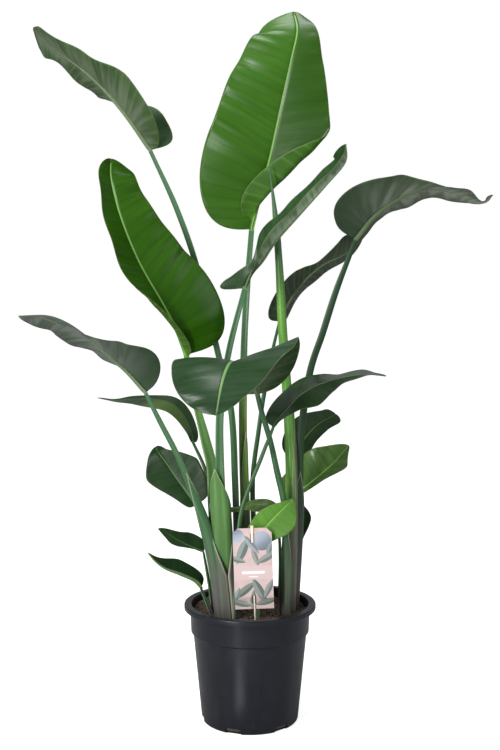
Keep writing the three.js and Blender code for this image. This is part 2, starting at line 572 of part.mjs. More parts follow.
const lathe = (profile) => {
  const points = profile.map(([x, z]) => new THREE.Vector2(x, z));
  return new THREE.LatheGeometry(points, POT_SIDES).rotateX(Math.PI / 2);
};

// The pot: a tapering body, a wider collar, and a lip that is hollow below. The notches under
// its edge let the water out.
function potGeometry() {
  const lipInner = COLLAR_RADIUS - WALL;
  const lipBottom = POT_HEIGHT - LIP_HEIGHT;
  const foot = BASE_RADIUS - FOOT_ROUNDING;
  const corner = FOOT_ROUNDING * (1 - Math.SQRT1_2);
  let pot = toSolid(lathe([
    [0, 0], [foot, 0], [BASE_RADIUS - corner, corner], [BASE_RADIUS, FOOT_ROUNDING],
    [BODY_TOP_RADIUS, COLLAR_BOTTOM - STEP_HEIGHT], [COLLAR_FOOT_RADIUS, COLLAR_BOTTOM],
    [COLLAR_RADIUS, POT_HEIGHT - LIP_THICK], [RIM_RADIUS - LIP_THICK, POT_HEIGHT - LIP_THICK],
    [RIM_RADIUS - LIP_THICK, lipBottom], [RIM_RADIUS - 0.4, lipBottom],
    [RIM_RADIUS, lipBottom + 0.6], [RIM_RADIUS, POT_HEIGHT - 1.6],
    [RIM_RADIUS - 0.5, POT_HEIGHT - 0.5], [RIM_RADIUS - 1.6, POT_HEIGHT],
    [lipInner + 1.2, POT_HEIGHT], [lipInner, POT_HEIGHT - 1.2],
    [COLLAR_FOOT_RADIUS - WALL, COLLAR_BOTTOM], [BODY_TOP_RADIUS - WALL, COLLAR_BOTTOM - STEP_HEIGHT],
    [BASE_RADIUS - WALL, FLOOR], [0, FLOOR],
  ]));
  for (let i = 0; i < NOTCH_COUNT; i++) {
    const turn = degToRad(NOTCH_TURN + (360 * i) / NOTCH_COUNT);
    const matrix = new THREE.Matrix4().makeRotationZ(turn)
      .multiply(new THREE.Matrix4().makeTranslation(0, -BASE_RADIUS, 0));
    pot = pot.subtract(boxAt(NOTCH_WIDTH, NOTCH_DEPTH, NOTCH_HEIGHT * 2, matrix));
  }
  return fromSolid(pot);
}

// Heaps and hollows of the soil: [x, y, radius, height].
function soilHeight(x, y) {
  const swell = SOIL_HEAPS.map(([hx, hy, radius, height]) =>
    height * Math.exp(-((x - hx) ** 2 + (y - hy) ** 2) / radius ** 2));
  return swell.reduce((sum, value) => sum + value, SOIL_LEVEL);
}

// The soil fills the pot, and has a plain hole for each stalk and the stick.
function soilGeometry() {
  const inset = WALL + CLEARANCE;
  const top = COLLAR_FOOT_RADIUS - inset + 0.8;
  const rings = [];
  for (let i = SOIL_RINGS; i >= 0; i--) rings.push([(top * i) / SOIL_RINGS, SOIL_LEVEL]);
  const plug = lathe([
    [0, FLOOR + CLEARANCE], [BASE_RADIUS - inset, FLOOR + CLEARANCE],
    [BODY_TOP_RADIUS - inset, COLLAR_BOTTOM - STEP_HEIGHT],
    [COLLAR_FOOT_RADIUS - inset, COLLAR_BOTTOM], ...rings,
  ]);
  const place = plug.attributes.position;
  for (let i = 0; i < place.count; i++) {
    if (Math.abs(place.getZ(i) - SOIL_LEVEL) < 0.001) {
      place.setZ(i, soilHeight(place.getX(i), place.getY(i)));
    }
  }
  const holes = [...LEAVES.map(leafHole), spearHole(), stickSolid(CLEARANCE)];
  return fromSolid(holes.reduce((soil, hole) => soil.subtract(hole), toSolid(plug)));
}

// The card's own frame: x across, y back, z up, from the middle of the card.
const cardFrame = () => new THREE.Matrix4().makeTranslation(...CARD_MIDDLE)
  .multiply(new THREE.Matrix4().makeRotationY(-degToRad(CARD_LEAN)));

// How far back the card lies at a height: in front of the stick in its middle, behind it at
// its ends.
function cardDepth(height) {
  const reach = Math.abs(height) - SLOT_MIDDLE;
  return CARD_OFFSET * (2 * smoothstep(reach, -BEND_REACH, BEND_REACH) - 1);
}

function cardSide() {
  const half = CARD_HEIGHT / 2;
  const bend = [-1, -0.5, 0, 0.5, 1].map((k) => SLOT_MIDDLE + k * BEND_REACH);
  const heights = [-half, ...bend.map((z) => -z).reverse(), ...bend, half];
  const front = heights.map((z) => new THREE.Vector2(cardDepth(z) - CARD_THICK / 2, z));
  const back = heights.map((z) => new THREE.Vector2(cardDepth(z) + CARD_THICK / 2, z));
  return new THREE.Shape([...back, ...front.reverse()]);
}

function cardGeometry() {
  const plain = new THREE.ExtrudeGeometry(cardSide(), { depth: CARD_WIDTH, bevelEnabled: false });
  plain.translate(0, 0, -CARD_WIDTH / 2);
  plain.applyMatrix4(new THREE.Matrix4().makeBasis(vector([0, 1, 0]), vector([0, 0, 1]), vector([1, 0, 0])));
  let card = toSolid(plain);
  for (const side of [-1, 1]) {
    const slot = new THREE.Matrix4().makeTranslation(0, 0, side * SLOT_MIDDLE);
    card = card.subtract(boxAt(SLOT_WIDTH, 20, SLOT_HEIGHT, slot));
    const corner = new THREE.Matrix4().makeTranslation(side * (CARD_WIDTH / 2), 0, CARD_HEIGHT / 2)
      .multiply(new THREE.Matrix4().makeRotationY(Math.PI / 4));
    card = card.subtract(boxAt(CARD_CHAMFER * Math.SQRT2, 20, CARD_CHAMFER * Math.SQRT2, corner));
  }
  return fromSolid(card).applyMatrix4(cardFrame());
}

function stickSolid(extra) {
  const top = CARD_HEIGHT / 2 + STICK_ABOVE + extra;
  const bottom = -CARD_HEIGHT / 2 - STICK_BELOW - extra;
  const matrix = cardFrame().multiply(new THREE.Matrix4().makeTranslation(0, 0, (top + bottom) / 2));
  return boxAt(STICK_WIDTH + 2 * extra, STICK_THICK + 2 * extra, top - bottom, matrix);
}

const part = new THREE.Group();
part.name = 'potted_strelitzia';

function add(name, colour, geometry) {
  geometry.computeVertexNormals();
  const [color, roughness] = COLOURS[colour];
  const material = new THREE.MeshStandardMaterial({ color, roughness });
  material.name = colour;
  const mesh = new THREE.Mesh(geometry, material);
  mesh.name = name;
  part.add(mesh);
}

add('pot', 'pot', potGeometry());
add('soil', 'soil', soilGeometry());
add('label', 'card', cardGeometry());
add('stick', 'stick', fromSolid(stickSolid(0)));
for (const leaf of LEAVES) add(leaf.name, leaf.colour, leafGeometry(leaf));
add(SPEAR.name, 'spear', spearGeometry());

export default part;
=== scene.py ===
"""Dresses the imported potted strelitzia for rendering. Metres, in the frame of the CAD part."""
import math
import random

import bmesh
import bpy
import numpy as np
from mathutils import Matrix, Vector, noise


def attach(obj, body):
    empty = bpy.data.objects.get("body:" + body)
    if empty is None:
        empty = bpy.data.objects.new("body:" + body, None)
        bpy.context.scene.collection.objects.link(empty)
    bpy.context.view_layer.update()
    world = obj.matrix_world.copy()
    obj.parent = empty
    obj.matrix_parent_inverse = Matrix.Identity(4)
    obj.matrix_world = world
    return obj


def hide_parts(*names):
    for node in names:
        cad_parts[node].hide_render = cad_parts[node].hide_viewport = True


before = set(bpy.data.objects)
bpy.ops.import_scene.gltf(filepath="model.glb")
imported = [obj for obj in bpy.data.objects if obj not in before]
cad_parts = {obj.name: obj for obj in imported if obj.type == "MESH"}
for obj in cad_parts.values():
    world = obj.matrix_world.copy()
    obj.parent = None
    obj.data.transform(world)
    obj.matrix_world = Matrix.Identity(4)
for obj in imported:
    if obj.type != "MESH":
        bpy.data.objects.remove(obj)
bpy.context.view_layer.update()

MM = 0.001

# The part's driving dimensions, in millimetres and degrees as in its source.
POT_HEIGHT = 217
RIM_RADIUS = 120
LIP_HEIGHT = 9
LIP_THICK = 2.4
COLLAR_RADIUS = 109.5
COLLAR_FOOT_RADIUS = 107.5
COLLAR_BOTTOM = 166
STEP_HEIGHT = 3
BODY_TOP_RADIUS = 103.6
BASE_RADIUS = 88.5
WALL = 3
FLOOR = 5
NOTCH_WIDTH = 28
NOTCH_HEIGHT = 11
NOTCH_DEPTH = 14
NOTCH_COUNT = 6
NOTCH_TURN = -20
SOIL_LEVEL = 198
SOIL_HEAPS = [[-70, 62, 46, 9], [60, -62, 40, 3], [-18, -92, 34, -3], [88, 40, 30, 4], [18, 96, 40, 3]]
CARD_HEIGHT = 146
CARD_MIDDLE = (5.8, -61, 295)
CARD_LEAN = 2
STICK_WIDTH = 5
STICK_THICK = 2
STICK_ABOVE = 5
STICK_BELOW = 82
STALK_DEPTH = 45
BLADE_THICK = 0.9
LOBE_END = 0.3

# One row a leaf, as in the part's source. stalk: points from the soil to the blade. rib: the
# points after them, to the tip. face: which way the upper side looks. Pairs are for the left and
# the right half. width: half widths. shape: how early and how late the blade is widest. lobe and
# slant: how far the margin reaches back at the base and forward over the rest. trim: what the
# width is multiplied by. fold: degrees that a half is raised at the rib. curl: degrees that it
# turns on to its margin. roll: degrees, start, end and softness of a rolled lobe. stem: half
# width and half depth of the stalk from the soil up. A list of one value holds all along.
LEAVES = [dict(
    name="leaf_tall_centre", colour="bright",
    stalk=[[-3, 44, 212], [-9, 44, 360], [-13, 44, 530], [-11, 46, 677], [-5, 50, 794], [3, 56, 895]],
    rib=[[19, 46, 961], [37, 38, 1029], [56, 38, 1117], [74, 48, 1197], [85, 66, 1250], [80, 98, 1290]],
    face=[[0.1, -1, 0.1], [0, -1, 0.1], [0, -1, 0.2], [0, -0.8, 0.6]], width=[122, 104],
    shape=[0.38, 0.5], lobe=[0.3, 0.3], slant=0.35,
    trim=[[1.05, 1.13, 0.94, 0.87, 0.84, 0.9, 1.3], [0.14, 0.7, 0.95, 0.83, 0.69, 0.58, 0.45]],
    fold=[[12, 12, 8, 5], [15, 12, 10, 10]], curl=[[-20, -20, -30, -30], [0, -20]],
    roll=[[0, 0, 1, 1], [165, 0.07, 0.38, 0.15]], stem=[[8, 7], [8, 6.5], [7.5, 6], [6, 5.5], [5, 5]]
), dict(
    name="leaf_left", colour="bright",
    stalk=[[-48, -6, 212], [-57, -6, 300], [-66, -8, 447], [-80, -14, 519], [-94, -20, 577],
        [-106, -24, 636], [-113, -22, 672]],
    rib=[[-130, -34, 720], [-152, -42, 763], [-193, -50, 837], [-224, -45, 913], [-242, -25, 978],
        [-246, 5, 1018]],
    face=[[0.2, -1, 0.2], [0.1, -1, 0.25]], width=[78, 106], shape=[0.3, 0.65], lobe=[0.3, 0.18],
    trim=[[0.3, 0.4, 0.72, 0.77, 0.68, 0.72, 0.9], [1.08, 0.98, 0.79, 0.73, 0.69, 0.8, 1.2]],
    fold=[[55, 50, 50, 45, 40], [8, 6, 4, 4]], curl=[[0], [-25]], roll=[[80, 0, 0.3, 0.3], [0, 0, 1, 1]],
    stem=[[12, 8], [15, 9], [14, 9], [9.5, 7], [6.5, 5.5], [5, 4.5]]
), dict(
    name="leaf_upper_left",
    stalk=[[-20, 32, 212], [-23, 32, 324], [-26, 30, 437], [-33, 28, 567], [-58, 28, 677], [-94, 30, 825],
        [-131, 34, 932], [-178, 40, 1037]],
    rib=[[-215, 32, 1090], [-250, 28, 1132], [-286, 26, 1167], [-321, 30, 1194], [-356, 40, 1221],
        [-387, 55, 1249]],
    face=[[0.78, 0.34, 0.53], [0.69, 0.34, 0.64], [0.52, 0.34, 0.75]], width=[80, 80], shape=[0.35, 0.45],
    lobe=[0.5, 0.5],
    trim=[[0.5, 0.98, 0.95, 0.82, 0.7, 0.85, 0.6], [1, 0.82, 0.76, 0.78, 0.6, 0.76, 1.7]],
    fold=[[18, 10, -4, -10, -10], [105, 90, 28, -2, -6, -8, -10, -10, -10]], curl=[[10], [10]],
    stem=[[8, 7], [8.5, 7.5], [8, 7], [7.5, 6.5], [5.5, 5.5]]
), dict(
    name="leaf_upper_right",
    stalk=[[80, 24, 212], [88, 24, 366], [91, 22, 514], [106, 18, 633], [130, 17, 710], [154, 18, 786],
        [188, 20, 877]],
    rib=[[217, 23, 914], [246, 28, 938], [276, 35, 954], [324, 45, 968], [369, 52, 961], [403, 56, 946],
        [424, 56, 943], [440, 54, 957]],
    face=[[-0.75, 0.4, 0.56], [-0.4, 0.35, 0.8], [0, 0.34, 0.94], [0.12, 0.2, 0.97], [0.25, 0.05, 0.97]],
    width=[76, 76], shape=[0.28, 0.6], lobe=[0.5, 0.25],
    trim=[[0.8, 1, 1.35, 1.35, 1.15, 0.8, 0.8], [1, 1.3, 0.95, 0.76, 0.79, 0.82, 0.95, 1, 1]],
    fold=[[12, 5, 5, 0], [38, 14, -14, -6, 4]], stem=[[9, 8], [9.5, 8.5], [9, 8], [8.5, 7.5], [6.5, 6]]
), dict(
    name="leaf_narrow",
    stalk=[[-36, -30, 212], [-42, -32, 285], [-50, -35, 394], [-54, -33, 502], [-52, -30, 582],
        [-37, -24, 680], [-9, -24, 790]],
    rib=[[2, -30, 816], [20, -40, 838], [44, -52, 873], [85, -60, 918], [130, -66, 967], [162, -68, 1005],
        [163, -66, 1036]],
    face=[[0, -1, 0.2], [-0.65, -0.5, 0.5], [-0.7, -0.16, 0.68], [-0.7, -0.16, 0.68],
        [-0.7, -0.16, 0.68]],
    width=[60, 60], shape=[0.3, 0.55], lobe=[0.6, 0.4],
    trim=[[1.4, 0.28, 0.7, 0.75, 0.75, 0.8, 0.85, 1.1, 2.2],
        [0.05, 0.3, 0.4, 0.36, 0.32, 0.32, 0.4, 0.5, 0.8]],
    fold=[[0, 12, 24, 26, 26, 24, 15], [60, 65, 65, 60, 60, 50, 30]],
    stem=[[9, 7], [9, 7.5], [8, 7], [7, 6.5], [5.5, 5.5], [4.5, 4.5]]
), dict(
    name="leaf_lower_left",
    stalk=[[-54, -34, 212], [-62, -36, 283], [-77, -38, 358], [-96, -42, 414], [-127, -48, 496],
        [-158, -56, 560], [-181, -62, 610]],
    rib=[[-212, -66, 646], [-236, -72, 668], [-270, -80, 700], [-296, -84, 722], [-322, -90, 738],
        [-350, -94, 746], [-394, -100, 745]],
    face=[[0.68, 0.45, 0.63], [0.6, 0.36, 0.78], [0.5, 0.3, 0.83], [0.3, 0.26, 0.93], [0.1, 0.21, 0.97]],
    width=[74, 74], shape=[0.35, 0.55], lobe=[0.1, 0.1],
    trim=[[0.8, 1.25, 0.92, 0.88, 1, 1.1, 1.4], [1, 1, 1, 1, 1.25, 1.4, 2.2]],
    fold=[[55, 12, -14, -16, -10], [60, 0, -14, -10, -5]],
    stem=[[9, 7], [10, 7.5], [8, 7], [6.5, 6], [5.5, 5]]
), dict(
    name="leaf_thin_left",
    stalk=[[-45, 28, 212], [-52, 30, 288], [-66, 32, 400], [-83, 34, 459], [-104, 36, 507]],
    rib=[[-108, 37, 528], [-122, 39, 557], [-142, 42, 577], [-170, 46, 585], [-215, 52, 585],
        [-250, 58, 582], [-284, 64, 586]],
    face=[[0.65, -0.4, 0.6], [0.5, -0.3, 0.8], [0.1, -0.1, 0.99]], width=[34, 24], shape=[0.35, 0.8],
    lobe=[0.4, 0.4], trim=[[0.4, 0.8, 1.25, 1.3, 1, 0.9, 1], [1, 1, 1, 0.75, 0.65, 0.9, 1]],
    fold=[[0], [5]], stem=[[6, 5], [5.5, 5], [4.5, 4], [3.5, 3.5]]
), dict(
    name="leaf_front",
    stalk=[[66, -18, 212], [66, -20, 316], [62, -24, 400], [48, -32, 465], [36, -38, 520], [21, -45, 571],
        [13, -50, 605]],
    rib=[[0, -90, 643], [-15, -135, 666], [-30, -180, 673], [-39, -220, 662], [-46, -255, 639],
        [-53, -290, 599]],
    face=[[-0.15, 0, 1]], width=[100, 100], shape=[0.35, 0.5], lobe=[0.1, 0.1],
    trim=[[0.75, 1.15, 1.2, 1.05, 1], [0.9, 0.95, 0.95, 0.95, 1]], fold=[[12], [20]], curl=[[0], [-22]],
    stem=[[7, 6], [7, 6], [6, 5.5], [5, 5], [4.5, 4.5]]
), dict(
    name="leaf_right_middle",
    stalk=[[-29, -46, 212], [-25, -46, 308], [-18, -49, 389], [-2, -57, 442], [16, -68, 489],
        [31, -78, 530], [39, -84, 553]],
    rib=[[51, -87, 570], [69, -90, 591], [86, -93, 609], [112, -97, 625], [143, -101, 636],
        [171, -103, 643], [198, -105, 646], [232, -107, 643]],
    face=[[-0.65, -0.19, 0.74], [-0.6, -0.19, 0.8], [-0.2, -0.08, 0.98], [0, -0.03, 1]], width=[52, 62],
    shape=[0.3, 0.55], lobe=[0.3, 0.3],
    trim=[[1, 1.35, 1.5, 1.6, 1.65, 1.9, 1.5], [0.3, 0.55, 0.97, 0.85, 0.4, 0.45, 0.6]],
    fold=[[20, -5, -5, 0], [0, -14, -12, 5]], stem=[[6, 5], [6, 5.5], [5.5, 5], [4.5, 4.5]]
), dict(
    name="leaf_behind_right",
    stalk=[[11, 60, 212], [7, 60, 318], [4, 60, 432], [15, 62, 525], [26, 64, 598], [41, 68, 674],
        [53, 72, 727]],
    rib=[[74, 76, 768], [98, 82, 800], [133, 90, 830], [174, 100, 850], [200, 108, 872], [216, 112, 900]],
    face=[[-0.66, 0.34, 0.66]], width=[54, 54], shape=[0.3, 0.55], lobe=[0.5, 0.3],
    trim=[[0.8, 0.9, 0.9, 0.85, 0.8, 0.8, 1], [1.25, 1.2, 0.65, 0.35, 1.1, 1.05, 1]], fold=[[0], [12]],
    stem=[[7, 6], [7, 6], [6, 5.5], [5.5, 5], [4, 4]]
), dict(
    name="leaf_right_back", stalk=[[70, 66, 212], [75, 84, 315], [82, 116, 405], [92, 140, 465]],
    rib=[[105, 150, 495], [131, 164, 521], [167, 176, 541]], face=[[-0.4, -0.6, 0.7]], width=[45, 45],
    shape=[0.4, 0.5], lobe=[0.4, 0.4], slant=0.4,
    trim=[[1.1, 1.15, 1.05, 0.92, 0.78, 0.75, 1], [1, 1, 1, 1.05, 1.2, 1.4, 1.6]], fold=[[10], [20]],
    stem=[[6, 5], [5.5, 5], [4.5, 4.5], [4, 4]]
), dict(
    name="leaf_right_glossy", colour="bright",
    stalk=[[62, 44, 212], [64, 50, 282], [68, 58, 356], [74, 66, 398]],
    rib=[[95, 74, 410], [115, 80, 424], [136, 88, 440], [160, 96, 460], [187, 104, 490]],
    face=[[-0.3, -0.8, 0.5]], width=[52, 50], shape=[0.4, 0.6], lobe=[0.5, 0.3], slant=0.4,
    trim=[[1, 1, 1, 0.95, 0.85, 0.8], [0.4, 0.65, 1.1, 1.3, 1, 0.85]], fold=[[10], [48, 42]],
    stem=[[7.5, 6], [7.5, 6], [5.5, 5], [4, 4]]
), dict(
    name="leaf_left_round", stalk=[[-60, 10, 212], [-71, 12, 277], [-84, 16, 330], [-100, 22, 393]],
    rib=[[-117, 28, 416], [-136, 34, 441], [-154, 42, 466], [-169, 52, 484], [-176, 64, 494]],
    face=[[0, -1, 0.15]], width=[38, 46], shape=[0.35, 0.5], lobe=[0.2, 0.2], slant=0.4,
    trim=[[0.6, 0.7, 1, 1.25, 1.2, 1, 0.7], [1.1, 1.15, 1.15, 0.95, 0.72, 0.5, 0.55]],
    stem=[[4, 3.5], [3.5, 3.5], [3, 3]]
), dict(
    name="leaf_low_left", stalk=[[-69, -14, 212], [-73, -15, 250], [-84, -15, 315]],
    rib=[[-106, -19, 325], [-127, -25, 337], [-148, -31, 352], [-164, -35, 362]], face=[[0.3, -0.5, 0.8]],
    width=[22, 22], shape=[0.35, 0.7], lobe=[0.2, 0.2], slant=0.4,
    trim=[[0.1, 0.15, 0.4, 0.85, 1.15, 1.05, 1], [1.6, 1.5, 1.15, 0.95, 0.85, 0.8, 0.8]],
    stem=[[4, 3.5], [3.5, 3], [2.5, 2.5]]
), dict(
    name="leaf_lowest_left", stalk=[[-74, -22, 212], [-78, -22, 222], [-84, -21, 236], [-89, -20, 250]],
    rib=[[-101, -25, 264], [-126, -35, 278], [-151, -45, 291], [-168, -52, 306], [-181, -58, 324]],
    face=[[0.3, -0.6, 0.7]], width=[22, 24], shape=[0.35, 0.8], lobe=[0.2, 0.2], slant=0.4,
    trim=[[1, 1, 1], [1, 1.15, 1.25, 1.15, 1, 0.8, 0.7]], fold=[[60], [5]],
    stem=[[4, 3.5], [3, 3], [2.5, 2.5]]
), dict(
    name="leaf_small_front", stalk=[[54, -4, 212], [55, -5, 299], [52, -8, 361], [46, -12, 394]],
    rib=[[27, -10, 399], [4, -6, 398], [-20, -6, 392], [-45, -6, 393]],
    face=[[0.3, -0.5, 0.8], [0.1, -0.3, 0.9]], width=[23, 21], shape=[0.35, 0.7], lobe=[0.2, 0.2],
    slant=0.4, trim=[[1, 1.05, 1, 0.6, 0.45, 1.2, 1.9], [0.9, 0.85, 0.75, 0.58, 0.4, 0.35, 0.6]],
    stem=[[4, 3.5], [3.5, 3], [2.5, 2.5]]
), dict(
    name="leaf_small_bright", colour="bright", stalk=[[13, -37, 212], [12, -40, 275], [7, -46, 342]],
    rib=[[21, -45, 359], [39, -43, 379], [57, -41, 397], [76, -38, 416]], face=[[0, -1, 0.1]],
    width=[33, 36], shape=[0.35, 0.6], lobe=[0.4, 0.4], slant=0.3,
    trim=[[0.8, 0.85, 0.85, 0.75, 0.65, 0.5, 0.4], [0.5, 0.75, 1, 1.1, 1.15, 1.1, 1]], fold=[[10], [10]],
    stem=[[4.5, 4], [4, 3.5], [3, 3]]
), dict(
    name="leaf_small_back", stalk=[[82, 40, 212], [85, 41, 249], [88, 42, 293]],
    rib=[[91, 46, 322], [93, 52, 358], [94, 58, 388]], face=[[-0.2, -0.9, 0.3]], width=[12, 24],
    shape=[0.35, 0.6], lobe=[0.2, 0.2], slant=0.4, trim=[[1, 1, 1], [0.1, 0.15, 0.4, 0.75, 1.05, 1.1, 1]],
    stem=[[4, 3.5], [3.5, 3], [3, 3]]
)]
LEAF_DEFAULTS = dict(
    colour="dark", slant=0.45, fold=[[5], [5]], curl=[[0], [0]], roll=[[0, 0, 1, 1], [0, 0, 1, 1]])
SPEAR = dict(
    stalk=[[71, 2, 212], [74, 3, 330], [75, 8, 459], [71, 14, 551], [65, 17, 633], [59, 16, 714],
        [53, 12, 821], [46, 8, 909], [35, 4, 999]],
    thick=[10.5, 11, 10, 8.8, 8.2, 6.5, 1.5])

# The grid of a blade and its relief. Lengths are in millimetres, and the rest are shares,
# counts and a power.
BEND_STEPS = 24
BLADE_START = 0.004
NARROWEST = 0.4
ROW_STEP = 2.2
COLUMN_STEP = 4
COLUMN_EASE = 1.15
OUTLINE_STEPS = 1500
FULL_RELIEF = 70
RELIEF_FROM_RIB = (3, 40)
RELIEF_FROM_EDGE = (0, 6)
VEIN_STEP = 13
VEIN_DEEP = 0.3
PLEAT_LONG = 34
PLEAT_HIGH = 0.6
MARGIN_WAVE = 2.2
MARGIN_LONG = 95
MARGIN_FADE = 30
HALVES_APART = 1.7
GROOVE_DEEP = 0.9
GROOVE_WIDTH = 2.6
FAR_FROM_EDGE = 20
EDGE_WIDE = 5
EDGE_THICK = 0.55

# The grid of a stalk and its channel, in millimetres and as shares of the stalk's length, width
# and depth. Below the blade the stalk runs on as a keel that gets slimmer to its tip.
STALK_STEP = 5
STALK_SIDES = 36
STALK_CROWN = 0.5
CHANNEL_DEEP = 0.34
CHANNEL_WIDE = 0.55
JOINT_START = 0.86
LIP_PLACE = 0.93
LIP_WIDE = 0.08
LIP_SHOWN = 0.45
KEEL_START = 0.85
KEEL_SINK = 0.6
KEEL_TIP = (1.2, 1)
RIB_END = 0.975

# How the side veins sway along the rib: how far, over what length, and what of the seed.
VEIN_SWAYS = ((5, 31, 1), (2, 11.3, 2))

# Colours are linear. dark and light: the upper side's patches. under: the lower side. vein: how
# strongly the side veins show. under_rim: the lower side towards the margin, and how much it
# shows. shade: how much the lower side darkens at its base. rib: the midrib, half as wide as
# rib_wide in millimetres. foot, stalk, neck: the stalk from the soil up. foot_end, neck_from and
# neck_full: shares of the stalk. streak: stripes along it. lip: the pale edge of its channel and
# of a sheath. gloss: the specular level. right: how much painted shade darkens the upper side's
# right half. left: how much left_colour shows in a patch of its left half, where light comes
# through.
PLAIN_LOOK = dict(dark=(0.011, 0.036, 0.01), light=(0.022, 0.058, 0.017), vein=0.3, rough=0.32,
    under_dark=(0.04, 0.078, 0.03), under_light=(0.085, 0.12, 0.07), under_vein=0.38,
    under_rim=(0.03, 0.072, 0.02), under_rim_shown=0.6, under_rough=0.5, shade=0,
    rib=(0.085, 0.175, 0.05), under_rib=(0.14, 0.2, 0.1), rib_wide=2.2, rib_shown=0.8,
    margin=(0.13, 0.15, 0.06), foot=(0.112, 0.094, 0.097), stalk=(0.045, 0.125, 0.048),
    neck=(0.06, 0.15, 0.07), streak=(0.085, 0.2, 0.08), foot_end=0.3, lip=0.72,
    lip_colour=(0.46, 0.46, 0.33), gloss=0.24, right=0, left=0, left_colour=(0.085, 0.165, 0.018),
    neck_from=0.6, neck_full=0.95)
BRIGHT = dict(dark=(0.017, 0.07, 0.001), light=(0.028, 0.102, 0.003), under_dark=(0.04, 0.11, 0.009),
    under_light=(0.062, 0.155, 0.018), under_vein=0.2, under_rim=(0.036, 0.108, 0.008),
    rib=(0.22, 0.46, 0.07), under_rib=(0.2, 0.38, 0.1), rib_wide=2.3, rib_shown=1,
    stalk=(0.11, 0.3, 0.055), neck=(0.11, 0.29, 0.05), streak=(0.2, 0.44, 0.11), rough=0.25, gloss=0.2)
LOOKS = {
    "leaf_tall_centre": dict(BRIGHT, dark=(0.025, 0.094, 0.002), light=(0.04, 0.136, 0.006),
        under_dark=(0.032, 0.108, 0.005), under_light=(0.052, 0.16, 0.01), under_rim=(0.036, 0.12, 0.005),
        stalk=(0.11, 0.21, 0.04), neck=(0.075, 0.175, 0.092), streak=(0.21, 0.38, 0.08), rough=0.32,
        gloss=0.28, right=0.7, neck_from=0.48, neck_full=0.7),
    "leaf_left": dict(BRIGHT, stalk=(0.085, 0.19, 0.056), streak=(0.138, 0.28, 0.09), foot_end=0.22),
    "leaf_upper_left": dict(dark=(0.034, 0.08, 0.028), light=(0.056, 0.12, 0.046),
        under_dark=(0.036, 0.068, 0.024), under_light=(0.108, 0.146, 0.084),
        under_rim=(0.042, 0.098, 0.022), under_rim_shown=0.7),
    "leaf_upper_right": dict(under_dark=(0.11, 0.142, 0.094), under_light=(0.285, 0.325, 0.258),
        shade=0.95, stalk=(0.026, 0.066, 0.028), neck=(0.03, 0.072, 0.036), streak=(0.048, 0.105, 0.05)),
    "leaf_narrow": dict(dark=(0.012, 0.04, 0.009), light=(0.024, 0.07, 0.018),
        under_rim=(0.16, 0.22, 0.13), under_rim_shown=0.5, under_dark=(0.085, 0.15, 0.068),
        under_light=(0.25, 0.34, 0.22)),
    "leaf_lower_left": dict(under_dark=(0.068, 0.088, 0.064), under_light=(0.16, 0.182, 0.155),
        under_rim_shown=0.3, under_vein=0.42, shade=1),
    "leaf_thin_left": dict(dark=(0.014, 0.042, 0.009), light=(0.034, 0.08, 0.018), left=0.85,
        under_dark=(0.085, 0.19, 0.02), under_light=(0.13, 0.26, 0.04)),
    "leaf_front": dict(dark=(0.01, 0.033, 0.009), light=(0.025, 0.06, 0.024), rib=(0.24, 0.48, 0.15),
        rib_wide=6),
    "leaf_right_middle": dict(dark=(0.009, 0.028, 0.008), light=(0.022, 0.056, 0.017),
        under_dark=(0.12, 0.155, 0.112), under_light=(0.23, 0.275, 0.22)),
    "leaf_left_round": dict(dark=(0.009, 0.03, 0.008), light=(0.018, 0.048, 0.014), gloss=0.14),
    "leaf_behind_right": dict(under_dark=(0.022, 0.04, 0.013), under_light=(0.05, 0.068, 0.039)),
    "leaf_right_back": dict(dark=(0.009, 0.024, 0.007), light=(0.017, 0.036, 0.013), rough=0.55,
        gloss=0.08, under_dark=(0.024, 0.046, 0.018), under_light=(0.046, 0.07, 0.036)),
    "leaf_small_front": dict(dark=(0.046, 0.09, 0.018), light=(0.074, 0.125, 0.03)),
    "leaf_right_glossy": dict(BRIGHT, dark=(0.054, 0.13, 0.02), light=(0.11, 0.215, 0.055), rough=0.26,
        gloss=0.6),
    "leaf_small_bright": dict(BRIGHT, dark=(0.08, 0.22, 0.022), light=(0.13, 0.31, 0.045), rough=0.42,
        right=0.4),
    "leaf_lowest_left": dict(under_dark=(0.13, 0.27, 0.05), under_light=(0.17, 0.33, 0.08)),
    "leaf_spear": dict(foot=(0.15, 0.3, 0.04), stalk=(0.12, 0.32, 0.05), neck=(0.056, 0.112, 0.068),
        streak=(0.23, 0.45, 0.1), lip_colour=(0.32, 0.48, 0.2), neck_from=0.62, neck_full=0.8),
}
UNDER_SHADE = (0.03, 0.06, 0.028)
SPEAR_SHEATH = dict(foot=(0.15, 0.135, 0.115), stalk=(0.12, 0.14, 0.08), foot_end=0.9)

# Sheaths round the feet of stalks. top: share of the stalk where one ends. facing: degrees,
# where -90 is to the front. round: half the angle that it covers at the foot. point: how late it
# narrows. bulge: millimetres off the stalk at the foot. ripe: where its colour is read. shift:
# millimetres that its upper part stands aside in x and y. size: its width, with the stalk's as 1.
SHEATHS = {
    "leaf_left": dict(
        top=0.56, facing=-112, round=165, point=3.4, bulge=1.4, ripe=0.75, shift=(10, -25), size=1.25),
    "leaf_lower_left": dict(top=0.62, facing=-70, round=120, point=2.5, bulge=1.2, ripe=0.4),
    "leaf_tall_centre": dict(top=0.46, facing=-40, round=140, point=3, bulge=1.6, ripe=0.3),
    "leaf_narrow": dict(
        top=0.4, facing=106, round=215, point=1.35, bulge=2.2, ripe=0.24, shift=(-5, 2), size=2.1),
    "leaf_upper_right": dict(top=0.36, facing=-75, round=130, point=2.5, bulge=1.6, ripe=0.2),
    "leaf_front": dict(top=0.45, facing=-110, round=120, point=2, bulge=1.2, ripe=0.3),
    "leaf_spear": dict(top=0.47, facing=12, round=118, point=4, bulge=1.5, ripe=0.5),
}
